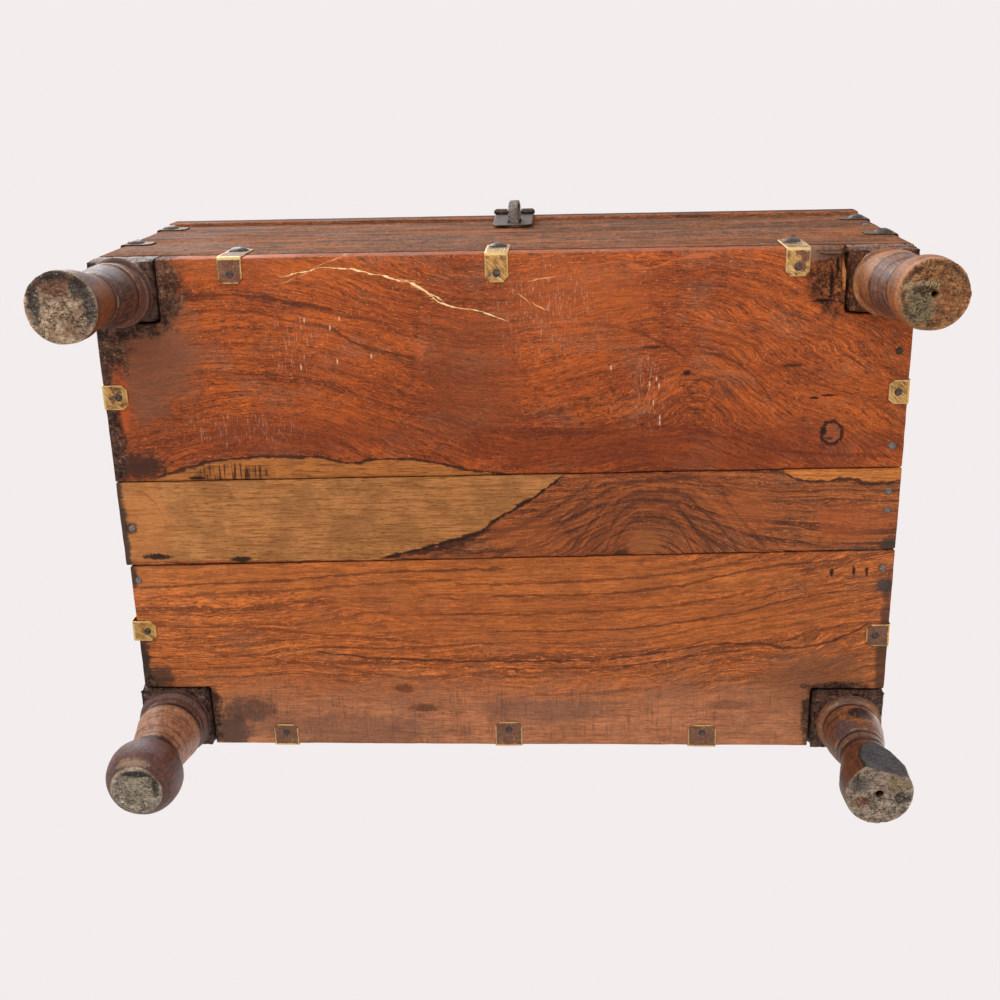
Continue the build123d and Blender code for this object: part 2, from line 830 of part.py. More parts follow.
lid_spans = {
    "lid_board_front": (lid_face, lid_joint - board_gap / 2),
    "lid_board_rear": (lid_joint + board_gap / 2, lid_back),
}
for board_name, (near, far) in lid_spans.items():
    with BuildPart() as lid_board:
        block((-half_length, near, wall_top), (half_length, far, lid_top))
        fillet(lid_board.edges().group_by(Axis.Z)[-1], lid_arris)
        add(lid_nails + strap_nails + hinge_lid_nails, mode=Mode.SUBTRACT)
    save(lid_board.part, board_name)

for side_name, centre_x in batten_places.items():
    with BuildPart() as batten:
        block(
            (centre_x - batten_width / 2, -batten_end, batten_low),
            (centre_x + batten_width / 2, batten_end, wall_top),
        )
        chamfer(batten.edges().group_by(Axis.Z)[0], lid_arris)
        add(lid_nails, mode=Mode.SUBTRACT)
    save(batten.part, f"lid_batten_{side_name}")
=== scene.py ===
"""The looks of the damchiya chest: worn wood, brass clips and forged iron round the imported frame.

Lengths are in millimetres until a mesh is made, in the frame's own axes: X runs along the
front, Y from the front to the back, Z up from the floor.
"""
import json
from itertools import product

import bmesh
import bpy
import numpy as np
from mathutils import Matrix, Vector

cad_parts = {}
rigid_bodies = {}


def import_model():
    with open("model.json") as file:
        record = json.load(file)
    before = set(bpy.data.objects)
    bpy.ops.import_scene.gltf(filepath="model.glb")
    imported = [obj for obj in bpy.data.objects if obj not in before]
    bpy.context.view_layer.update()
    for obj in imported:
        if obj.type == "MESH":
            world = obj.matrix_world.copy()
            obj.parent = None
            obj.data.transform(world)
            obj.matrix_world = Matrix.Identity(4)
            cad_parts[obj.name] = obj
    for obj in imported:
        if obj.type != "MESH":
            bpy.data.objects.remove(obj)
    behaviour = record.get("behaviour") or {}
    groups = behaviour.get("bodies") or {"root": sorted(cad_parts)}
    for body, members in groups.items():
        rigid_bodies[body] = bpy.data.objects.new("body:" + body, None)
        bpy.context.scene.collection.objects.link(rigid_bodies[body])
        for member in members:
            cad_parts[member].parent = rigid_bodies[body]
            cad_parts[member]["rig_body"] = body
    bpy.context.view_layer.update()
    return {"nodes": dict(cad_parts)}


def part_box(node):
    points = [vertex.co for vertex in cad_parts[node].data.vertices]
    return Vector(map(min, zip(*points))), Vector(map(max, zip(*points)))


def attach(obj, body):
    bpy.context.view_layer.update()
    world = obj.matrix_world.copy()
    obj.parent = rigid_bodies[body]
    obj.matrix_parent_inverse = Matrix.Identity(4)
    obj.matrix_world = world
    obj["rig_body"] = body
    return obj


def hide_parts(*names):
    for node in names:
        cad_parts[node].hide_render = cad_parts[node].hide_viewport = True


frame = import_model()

scene = bpy.context.scene
MM = 0.001

# ---- The frame's own sizes ----


def box_mm(node):
    """The lowest and highest corner of a CAD node, in millimetres."""
    low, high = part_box(node)
    return np.array(low) / MM, np.array(high) / MM


half_depth = box_mm("back_wall")[1][1]
underside = box_mm("bottom_board_front")[0][2]
wall_foot = box_mm("front_wall")[0][2]
lid_top = box_mm("lid_board_front")[1][2]

FRONT, BACK = Vector((0, -1, 0)), Vector((0, 1, 0))
LEFT, RIGHT = Vector((-1, 0, 0)), Vector((1, 0, 0))
UP, DOWN = Vector((0, 0, 1)), Vector((0, 0, -1))
sides = {"front": FRONT, "back": BACK, "left": LEFT, "right": RIGHT}

# ---- Noise for the meshes ----


def lattice(cells, seed):
    """A repeatable number between -1 and 1 for each cell of a lattice."""
    x, y, z = cells.T
    n = (x * 374761393 + y * 668265263 + z * 1440662683 + seed * 1274126177) & 0xFFFFFFFF
    n = ((n ^ (n >> 13)) * 1274126177) & 0xFFFFFFFF
    return ((n ^ (n >> 16)) & 0xFFFF) / 32767.5 - 1.0


def noise(points, size, seed):
    """Smooth noise between -1 and 1, with lumps of about the given size, or sizes in X, Y, Z."""
    scaled = points / np.array(size, float)
    cells = np.floor(scaled).astype(np.int64)
    share = scaled - cells
    share = share * share * (3.0 - 2.0 * share)
    total = np.zeros(len(points))
    for corner in product((0, 1), repeat=3):
        weight = np.prod(np.where(corner, share, 1.0 - share), axis=1)
        total += weight * lattice(cells + np.array(corner), seed)
    return total


def hollows(points, size, seed):
    """The same noise between 0 and 1."""
    return 0.5 + 0.5 * noise(points, size, seed)


def step(values, low, high):
    """A smooth rise from 0 at low to 1 at high."""
    t = np.clip((values - low) / (high - low), 0.0, 1.0)
    return t * t * (3.0 - 2.0 * t)


# ---- Pieces ----


def read_points(mesh):
    """The points of a mesh, in millimetres."""
    points = np.empty(len(mesh.vertices) * 3)
    mesh.vertices.foreach_get("co", points)
    return points.reshape(-1, 3) / MM


def write_points(mesh, points):
    """Put the points, in millimetres, into a mesh."""
    mesh.vertices.foreach_set("co", (points * MM).ravel())
    mesh.update()


def read_normals(mesh):
    """The outward direction at each point of a mesh."""
    normals = np.empty(len(mesh.vertices) * 3)
    mesh.vertex_normals.foreach_get("vector", normals)
    return normals.reshape(-1, 3)


def finish_piece(mesh, prefix, node, material):
    """Make a mesh a piece that stands for a CAD node: it gets its material, rides with the node's body and
    hides the node.
    """
    mesh.materials.clear()
    mesh.materials.append(material)
    mesh.shade_smooth()
    piece = bpy.data.objects.new(prefix + node, mesh)
    scene.collection.objects.link(piece)
    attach(piece, frame["nodes"][node]["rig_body"])
    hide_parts(node)


def finish_built(made, prefix, node, material):
    """Make what was built face by face a piece, with its faces turned outward."""
    bmesh.ops.recalc_face_normals(made, faces=made.faces)
    mesh = bpy.data.meshes.new(node)
    made.to_mesh(mesh)
    made.free()
    finish_piece(mesh, prefix, node, material)


def evaluated_copy(node, *modifiers):
    """A copy of a CAD node's mesh with modifiers applied, each given as (kind, settings)."""
    source = bpy.data.objects.new("source", frame["nodes"][node].data.copy())
    scene.collection.objects.link(source)
    for kind, settings in modifiers:
        modifier = source.modifiers.new(kind.lower(), kind)
        for name, value in settings.items():
            setattr(modifier, name, value)
    graph = bpy.context.evaluated_depsgraph_get()
    mesh = bpy.data.meshes.new_from_object(source.evaluated_get(graph))
    mesh.name = node
    spent = source.data
    bpy.data.objects.remove(source)
    bpy.data.meshes.remove(spent)
    return mesh


def remeshed(node, voxel, smoothing=0):
    """A closed, even mesh of a CAD node, with quads of about the voxel's size."""
    steps = [("REMESH", {"mode": "VOXEL", "voxel_size": voxel * MM})]
    if smoothing:
        steps.append(("SMOOTH", {"iterations": smoothing, "factor": 0.5}))
    return evaluated_copy(node, *steps)


def edge_distance(points, low, high):
    """How far each point is from the nearest edge of a box."""
    to_faces = np.concatenate([np.abs(points - low), np.abs(points - high)], axis=1)
    nearest = np.minimum(to_faces[:, :3], to_faces[:, 3:])
    return np.sort(nearest, axis=1)[:, 1]


# ---- Worn wood ----

board_wear, board_dents, board_ripples = 0.9, 0.2, 0.12
edge_wear_reach = 5.0
nibble_size, slow_wear_size = 9.0, 60.0
dent_size = (70.0, 22.0, 22.0)
ripple_size = (14.0, 5.0, 5.0)
ALONG_X, ALONG_Y = 0, 1


def stretched(sizes, along):
    """Sizes given along the grain and across it, as X, Y, Z for grain along an axis."""
    turned = [sizes[1], sizes[2], sizes[2]]
    turned[along] = sizes[0]
    return turned


def worn_wood(node, material, along, seed, voxel=1.8, chips=()):
    """A board with rounded, nibbled edges, a hand-planed face and chips (place, radius, depth)."""
    mesh = remeshed(node, voxel)
    points, normals = read_points(mesh), read_normals(mesh)
    low, high = box_mm(node)
    near_edge = 1.0 - step(edge_distance(points, low, high), 0.0, edge_wear_reach)
    nibble = hollows(points, nibble_size, seed)
    slow = hollows(points, slow_wear_size, seed + 1)
    depth = board_wear * near_edge**2 * (0.25 + 0.75 * nibble) * (0.3 + 0.7 * slow)
    depth += board_dents * hollows(points, stretched(dent_size, along), seed + 2)
    depth += board_ripples * hollows(points, stretched(ripple_size, along), seed + 3)
    for place, radius, deep in chips:
        distance = np.linalg.norm(points - np.array(place), axis=1)
        ragged = distance * (1.0 + 0.35 * noise(points, radius * 0.6, seed + 4))
        depth += deep * (1.0 - step(ragged, radius * 0.35, radius))
    write_points(mesh, points - normals * depth[:, None])
    finish_piece(mesh, "worn_", node, material)


# ---- Brass clips ----

strap_steps_across = 18
strap_step = 1.0
strap_bend = 2.2
strap_arc = strap_bend * np.pi / 2
strap_inner_depth = 0.85
strap_mean_depth = 0.25
hammer_rise = 0.22
rim_start, rim_drop = 0.8, 0.825
corner_cut, corner_slope = 4.0, 0.9
ragged_side = 0.35


def reach_along(node, direction):
    """The nearest and the farthest that a CAD node lies along a direction, in millimetres."""
    return sorted(float(np.dot(corner, direction)) for corner in box_mm(node))


def strap_turn(past_leg, outer):
    """Where a strip's outer face is, past its first leg, and which way it faces, in its plane."""
    centre = [reach - strap_bend for reach in outer]
    if past_leg < 0.0:
        return (outer[0], centre[1] + past_leg), (1.0, 0.0)
    if past_leg < strap_arc:
        out = (np.cos(past_leg / strap_bend), np.sin(past_leg / strap_bend))
        return (centre[0] + strap_bend * out[0], centre[1] + strap_bend * out[1]), out
    return (centre[0] - (past_leg - strap_arc), outer[1]), (0.0, 1.0)


def strap_clip(node, first, second, material, seed):
    """A hand-cut brass strip bent round an edge, with a hammered outer face."""
    across = first.cross(second)
    inner_first, outer_first = reach_along(node, first)
    inner_second, outer_second = reach_along(node, second)
    near_side, far_side = reach_along(node, across)
    first_leg = outer_second - inner_second - strap_bend
    second_leg = outer_first - inner_first - strap_bend
    total = first_leg + strap_arc + second_leg
    count = int(total / strap_step)
    made = bmesh.new()
    outside, inside = [], []
    for i in range(count + 1):
        along = total * i / count
        face, out = strap_turn(along - first_leg, (outer_first, outer_second))
        cut = corner_slope * max(0.0, corner_cut - min(along, total - along))
        ragged = ragged_side * abs(noise(np.array([[along, 0.0, seed]]), 5.0, seed)[0])
        half = (far_side - near_side) / 2 - cut - ragged
        for rows in (outside, inside):
            rows.append([])
            for j in range(strap_steps_across + 1):
                share = -1.0 + 2.0 * j / strap_steps_across
                hammered = noise(np.array([[along, share * half, 0.0]]), 9.0, seed + 1)[0]
                lift = hammer_rise * (1.0 + hammered) - rim_drop * max(0.0, abs(share) - rim_start)
                depth = max(strap_mean_depth - lift, 0.0) if rows is outside else strap_inner_depth
                place = first * (face[0] - out[0] * depth) + second * (face[1] - out[1] * depth)
                place += across * ((near_side + far_side) / 2 + share * half)
                rows[-1].append(made.verts.new(place * MM))
    skin(made, outside, inside)
    finish_built(made, "bent_", node, material)


def skin(made, outer, inner):
    """Close a plate from two grids of points, the outer one and the inner one."""
    rows, columns = len(outer) - 1, len(outer[0]) - 1
    for i, j in product(range(rows), range(columns)):
        made.faces.new((outer[i][j], outer[i][j + 1], outer[i + 1][j + 1], outer[i + 1][j]))
        made.faces.new((inner[i][j], inner[i + 1][j], inner[i + 1][j + 1], inner[i][j + 1]))
    for i in range(rows):
        for j, turn in ((0, 1), (columns, -1)):
            loop = (outer[i][j], outer[i + 1][j], inner[i + 1][j], inner[i][j])
            made.faces.new(loop[::turn])
    for j in range(columns):
        for i, turn in ((0, -1), (rows, 1)):
            loop = (outer[i][j], outer[i][j + 1], inner[i][j + 1], inner[i][j])
            made.faces.new(loop[::turn])


# ---- Forged nails ----

head_segments = 28
head_angles = np.arange(head_segments) * 2 * np.pi / head_segments
facets = np.where(np.arange(head_segments) % 2, 1.0, 0.995)
dome_shares = (0.25, 0.5, 0.7, 0.84, 0.94, 1.0)
shank_radius, tip_radius = 1.3, 0.35


def nail_islands(node):
    """The lowest and highest corner of each separate nail in a node, in millimetres."""
    made = bmesh.new()
    made.from_mesh(frame["nodes"][node].data)
    bmesh.ops.remove_doubles(made, verts=made.verts, dist=0.01 * MM)
    found = []
    waiting = set(made.verts)
    while waiting:
        reached = {waiting.pop()}
        edge = set(reached)
        while edge:
            edge = {e.other_vert(v) for v in edge for e in v.link_edges} - reached
            reached |= edge
        waiting -= reached
        places = np.array([v.co for v in reached]) / MM
        found.append((places.min(0), places.max(0)))
    made.free()
    found.sort(key=lambda pair: tuple(np.round(pair[0], 1)))
    return found


def nail_ring(made, seat, axes, radii, heights):
    """A loop of points round a nail, each at its radius and its height over the seat."""
    side, over, out = axes
    loop = []
    for angle, radius, height in zip(head_angles, radii, heights):
        place = seat + side * (radius * np.cos(angle)) + over * (radius * np.sin(angle)) + out * height
        loop.append(made.verts.new(place * MM))
    return loop


def nail_axis(low, high, outward):
    """The axis that a nail lies along, and on which side its head is."""
    size, centre = high - low, (low + high) / 2
    if outward is None:
        axis = int(np.argmax(np.abs(size - np.median(size))))
        return axis, np.sign(centre[axis])
    axis = int(np.argmax(np.abs(outward)))
    return axis, np.sign(outward[axis])


def forged_nails(node, material, seed, radius, rise, outward=None):
    """Hammered heads, each a little different, on tapering shanks where the CAD nails are."""
    made = bmesh.new()
    random = np.random.default_rng(seed)
    for low, high in nail_islands(node):
        axis, sign = nail_axis(low, high, outward)
        out = Vector([sign if i == axis else 0.0 for i in range(3)])
        side = Vector([1.0 if i == (axis + 1) % 3 else 0.0 for i in range(3)])
        axes = (side, out.cross(side), out)
        seat = Vector((low + high) / 2)
        seat[axis] = (high if sign > 0 else low)[axis] - sign * rise
        length = high[axis] - low[axis] - rise
        phase, stretch = random.uniform(0, 6.28), random.uniform(0.9, 1.0)
        lumps = 1.0 + 0.03 * np.sin(2 * head_angles + phase) + 0.02 * np.sin(5 * head_angles + 2 * phase)
        rings = []
        for share in dome_shares:
            dents = 1.0 - 0.1 * (0.5 + 0.5 * np.sin(3 * head_angles + phase + 2.0 * share))
            heights = rise * (1.0 - share**2.4) ** 0.75 * dents
            rings.append(nail_ring(made, seat, axes, share * radius * stretch * lumps * facets, heights))
        for far, height in ((stretch * radius, -0.25), (shank_radius, -0.3), (tip_radius, -length)):
            rings.append(nail_ring(made, seat, axes, [far] * head_segments, [height] * head_segments))
        top = made.verts.new((seat + out * rise * 0.97) * MM)
        tip = made.verts.new((seat - out * length) * MM)
        for k in range(head_segments):
            n = (k + 1) % head_segments
            made.faces.new((top, rings[0][k], rings[0][n]))
            made.faces.new((tip, rings[-1][n], rings[-1][k]))
            for a, b in zip(rings, rings[1:]):
                made.faces.new((a[k], b[k], b[n], a[n]))
    finish_built(made, "forged_", node, material)


# ---- Forged ironwork ----

iron_voxel = 0.55
iron_dents, iron_dent_size = 0.14, 6.0
iron_pits, iron_pit_size = 0.05, 1.8
twist_reach = 6.0


def forged_iron(node, material, seed, twist=0.0):
    """A strap or a rod with hammered faces and softened edges, twisted in front of the wall."""
    mesh = remeshed(node, iron_voxel, smoothing=2)
    points, normals = read_points(mesh), read_normals(mesh)
    depth = iron_dents * hollows(points, iron_dent_size, seed)
    depth += iron_pits * hollows(points, iron_pit_size, seed + 1)
    points -= normals * depth[:, None]
    low, high = box_mm(node)
    free = step(-points[:, 1], half_depth, half_depth + twist_reach)
    points[:, 0] += twist * free * (points[:, 2] - (low[2] + high[2]) / 2)
    write_points(mesh, points)
    finish_piece(mesh, "forged_", node, material)


# ---- Legs ----

leg_grooves = {
    "leg_front_left": ((102.0, 1.8, 0.8), (84.0, 2.2, 1.4), (50.0, 1.7, 1.0)),
    "leg_front_right": ((98.0, 1.8, 0.9), (70.0, 1.6, 0.6), (41.0, 1.8, 1.1)),
    "leg_rear_left": ((103.0, 1.6, 0.8), (91.0, 2.4, 1.6), (47.0, 1.8, 1.0)),
    "leg_rear_right": ((98.0, 1.8, 0.9), (62.0, 1.6, 0.8), (52.0, 1.8, 1.0)),
}
leg_voxel = 0.95
turning_end = (underside - 12.0, underside - 4.0)
block_end = (underside + 2.0, underside + 8.0)
tool_depth = 0.24
hollow_depth, hollow_size = 0.7, (14.0, 14.0, 26.0)
leg_dent_depth, leg_dent_size = 0.25, 5.0
crack_depth, crack_size = 0.25, (6.0, 6.0, 14.0)
crumble_depth, crumble_size = 0.5, 4.0
rounding_depth, rounding_reach = 2.6, 6.0


def worn_leg(node, material, seed, decay=0.0):
    """A turned leg with its grooves (height, half width, depth), dents and a worn, cracked block."""
    mesh = remeshed(node, leg_voxel, smoothing=2)
    points, normals = read_points(mesh), read_normals(mesh)
    turned = 1.0 - step(points[:, 2], *turning_end)
    levels = points * [0.0, 0.0, 1.0]
    tool = noise(levels, 2.6, seed) + 0.6 * noise(levels, 7.0, seed + 1)
    depth = tool_depth * turned * (0.5 + 0.5 * tool)
    depth += hollow_depth * hollows(points, hollow_size, seed + 2) ** 2
    depth += leg_dent_depth * hollows(points, leg_dent_size, seed + 3)
    sharp = 1.0 - np.abs(noise(points, crack_size, seed + 4))
    depth += (crack_depth + decay) * (1.0 - turned) * step(sharp, 0.8, 1.0)
    block = (1.0 - turned) * (1.0 - step(points[:, 2], *block_end))
    depth += (crumble_depth + decay) * block * hollows(points, crumble_size, seed + 5)
    for height, half_width, deep in leg_grooves[node]:
        depth += deep * turned * np.exp(-(((points[:, 2] - height) / half_width) ** 2))
    square = points[(block > 0.5) & (turned < 0.1)]
    low, high = square.min(axis=0), square.max(axis=0) + (0.0, 0.0, lid_top)
    near_edge = 1.0 - step(edge_distance(points, low, high), 0.0, rounding_reach)
    depth += rounding_depth * near_edge**2 * block * (0.65 + 0.35 * noise(points, 7.0, seed + 6))
    write_points(mesh, points - normals * depth[:, None])
    finish_piece(mesh, "turned_", node, material)


# ---- Shader building ----


def linear(*rgb):
    """A colour written as on a screen, 0 to 255, as the shaders need it."""
    share = [c / 255.0 for c in rgb]
    return [c / 12.92 if c <= 0.04045 else ((c + 0.055) / 1.055) ** 2.4 for c in share] + [1.0]


def add_node(tree, kind, inputs=(), **settings):
    """A new node with its settings. Its inputs, each a link or a constant, are given in order, or
    by name or number.
    """
    node = tree.nodes.new("ShaderNode" + kind)
    for name, value in settings.items():
        setattr(node, name, value)
    for name, value in inputs.items() if isinstance(inputs, dict) else enumerate(inputs):
        if isinstance(value, bpy.types.NodeSocket):
            tree.links.new(value, node.inputs[name])
        else:
            node.inputs[name].default_value = value
    return node


class Shader:
    """A material's nodes, with short names for the ones that the finishes need."""

    def __init__(self, name):
        self.material = bpy.data.materials.new(name)
        self.material.use_nodes = True
        self.tree = self.material.node_tree
        self.tree.nodes.clear()
        self.place = self.vector("SCALE", self.add("TexCoord").outputs["Object"], scale=1.0 / MM)
        self.x, self.y, self.z = self.split(self.place)
        self.kept = {}

    def add(self, kind, inputs=(), **settings):
        """A new node in this material."""
        return add_node(self.tree, kind, inputs, **settings)

    def show(self, node):
        """Make a node the material's surface."""
        self.add("OutputMaterial", {"Surface": node.outputs[0]})
        return self.material

    def moved(self, seed):
        """The place moved by a seed, so that pieces of one finish differ."""
        return self.vector("ADD", self.place, (seed * 31.0, seed * 17.0, seed * 7.0))

    def math(self, operation, *values, clamp=False):
        """A sum with up to three values."""
        return self.add("Math", values, operation=operation, use_clamp=clamp).outputs[0]

    def minus(self, a, b):
        """One value less another."""
        return self.math("SUBTRACT", a, b)

    def scaled(self, value, factor, base):
        """A value times a factor, on top of a base."""
        return self.math("MULTIPLY_ADD", value, factor, base)

    def times(self, a, b):
        """Two values multiplied."""
        return self.math("MULTIPLY", a, b)

    def apart(self, a, b):
        """How far two values are from each other."""
        return self.math("ABSOLUTE", self.minus(a, b))

    def ragged(self, value, size, reach):
        """A value raised by up to its reach, in lumps of a size."""
        return self.scaled(self.lumps(size), reach, value)

    def vector(self, operation, a, b=(0.0, 0.0, 0.0), scale=1.0):
        """A sum with vectors. The factor of SCALE is a node's input 3."""
        node = self.add("VectorMath", {0: a, 1: b, 3: scale}, operation=operation)
        return node.outputs["Value" if operation in ("LENGTH", "DOT_PRODUCT") else "Vector"]

    def split(self, vector):
        """A vector's X, Y and Z."""
        return self.add("SeparateXYZ", (vector,)).outputs

    def join(self, x, y, z):
        """A vector from X, Y and Z."""
        return self.add("CombineXYZ", (x, y, z)).outputs[0]

    def noise(self, place, sizes, detail=2.0, rough=0.5):
        """Noise between 0 and 1 with lumps of the given sizes in millimetres."""
        sizes = (sizes,) * 3 if isinstance(sizes, (int, float)) else sizes
        place = self.vector("DIVIDE", place, sizes)
        inputs = {"Vector": place, "Scale": 1.0, "Detail": detail, "Roughness": rough}
        return self.add("TexNoise", inputs).outputs["Fac"]

    def noise_line(self, value, detail=2.0, rough=0.5):
        """One-dimensional noise, for growth rings of uneven width."""
        inputs = {"W": value, "Scale": 1.0, "Detail": detail, "Roughness": rough}
        return self.add("TexNoise", inputs, noise_dimensions="1D").outputs["Fac"]

    def fade(self, value, low, high, start=0.0, end=1.0):
        """A smooth change from start at low to end at high."""
        inputs = (value, low, high, start, end)
        return self.add("MapRange", inputs, interpolation_type="SMOOTHSTEP").outputs[0]

    def blend(self, share, a, b):
        """Two colours mixed by a share. They are a Mix node's inputs 6 and 7, and its output 2."""
        return self.add("Mix", {0: share, 6: a, 7: b}, data_type="RGBA").outputs[2]

    def over(self, colour, share, tone, gain=1.0):
        """A colour with a tone laid over it by a share."""
        return self.blend(share, colour, self.tone(tone, gain))

    def layered(self, colour, layers):
        """Tones over a colour: each one's noise, where it starts and is full, strength, tone, gain."""
        for value, start, full, strength, tone, gain in layers:
            colour = self.over(colour, self.fade(value, start, full, 0.0, strength), tone, gain)
        return colour

    def along(self, direction):
        """Millimetres along a direction."""
        return self.vector("DOT_PRODUCT", self.place, tuple(direction))

    def near(self, centre, radii):
        """Distance from a place, where 1 is the edge of an ellipsoid with the given radii."""
        away = self.vector("SUBTRACT", self.place, centre)
        return self.vector("LENGTH", self.vector("DIVIDE", away, radii))

    def distance(self, centre, stretch):
        """Millimetres from a place, with each axis stretched."""
        away = self.vector("SUBTRACT", self.place, centre)
        return self.vector("LENGTH", self.vector("MULTIPLY", away, stretch))

    def tone(self, rgb, gain=1.0):
        """A colour written as on a screen, made lighter or darker."""
        return linear(*(min(255.0, c * gain) for c in rgb))

    def lumps(self, size):
        """One ragged noise for each size, shared by all the marks that ask for it."""
        if size not in self.kept:
            self.kept[size] = self.noise(self.place, size, 3.0, 0.66)
        return self.kept[size]

    def patch(self, centre, radii, strength, grain):
        """A ragged patch: its strength in the middle, and nothing past its radii."""
        reach = self.ragged(self.near(centre, radii), grain, -1.2)
        return self.fade(reach, 0.5, -0.05, 0.0, strength)

    def cracks(self, size, strength):
        """Fine crooked cracks, closer in some places than in others."""
        name = ("cracks", size)
        if name not in self.kept:
            cells = self.noise(self.place, (size, size, 3.0 * size), 3.0, 0.7)
            line = self.fade(self.apart(cells, 0.5), 0.024, 0.006)
            self.kept[name] = self.times(line, self.fade(self.lumps(16.0), 0.4, 0.56, 0.1, 1.0))
        return self.times(self.kept[name], strength)

    def streaked(self, light, dark):
        """Two tones in fine streaks along X."""
        fine = self.noise(self.place, (24.0, 1.4, 8.0), 4.0, 0.7)
        dashes = self.noise(self.place, (7.0, 0.8, 4.0), 3.0, 0.66)
        broad = self.fade(self.lumps(24.0), 0.4, 0.62)
        colour = self.blend(broad, self.tone(light), self.tone(light, 0.86))
        return self.layered(colour, (
            (fine, 0.46, 0.64, 1.0, dark, 1.0), (dashes, 0.54, 0.66, 0.75, dark, 0.62),
        ))

    def curve(self, value, points):
        """The height at a value of a smooth line through points, all in millimetres."""
        starts, heights = zip(*points)
        span, low, reach = starts[-1] - starts[0], min(heights) - 1.0, max(heights) - min(heights) + 2.0
        share = self.math("DIVIDE", self.minus(value, starts[0]), span, clamp=True)
        node = self.add("FloatCurve", {"Value": share})
        line = node.mapping.curves[0].points
        places = [((x - starts[0]) / span, (y - low) / reach) for x, y in points]
        line[0].location, line[1].location = places[0], places[-1]
        for place in places[1:-1]:
            line.new(*place)
        node.mapping.update()
        return self.scaled(node.outputs[0], reach, low)

    def past(self, points):
        """Millimetres past a wavering line through points (x, y), towards the back."""
        if "waver" not in self.kept:
            waver = self.noise(self.place, (15.0, 6.0, 6.0), 3.0, 0.6)
            self.kept["waver"] = self.scaled(waver, 5.0, self.minus(self.y, 2.5))
        return self.minus(self.kept["waver"], self.curve(self.x, points))

    def beyond(self, points):
        """One past a wavering line through points (x, y), and nothing before it."""
        return self.fade(self.past(points), -0.7, 0.7)

    def trace(self, points, width, strength):
        """How strongly a place lies on a wavering line of uneven width."""
        reach = self.fade(self.lumps(10.0), 0.32, 0.66, 0.3 * width, 1.25 * width)
        off = self.math("DIVIDE", self.math("ABSOLUTE", self.past(points)), reach)
        line = self.fade(off, 1.0, 0.35, 0.0, strength)
        start, end = points[0][0], points[-1][0]
        after_start = self.fade(self.x, start - 2.0, start + 6.0)
        before_end = self.fade(self.x, end + 2.0, end - 6.0)
        return self.times(line, self.times(after_start, before_end))

    def finish(self, colour, roughness, height, depth, metallic=0.0, specular=0.5):
        """The material with a colour, a roughness and a height in units of depth millimetres."""
        bump = self.add("Bump", {"Distance": depth * MM, "Strength": 1.0, "Height": height})
        return self.show(self.add("BsdfPrincipled", {
            "Base Color": colour, "Roughness": roughness, "Metallic": metallic,
            "Specular IOR Level": specular, "Normal": bump.outputs[0],
        }))


# ---- Wood ----

BLACK, INK, STRAW, FLECK = (24, 18, 16), (54, 34, 27), (240, 206, 150), (222, 186, 158)


figure_waves = (((240.0, 70.0, 70.0), 44.0), ((52.0, 17.0, 17.0), 9.0), ((13.0, 5.0, 5.0), 1.8))


def grain_place(shader, grain):
    """The place with X turned to run along the grain."""
    level = (shader.x, shader.y)
    return shader.join(level[grain], level[1 - grain], shader.z)


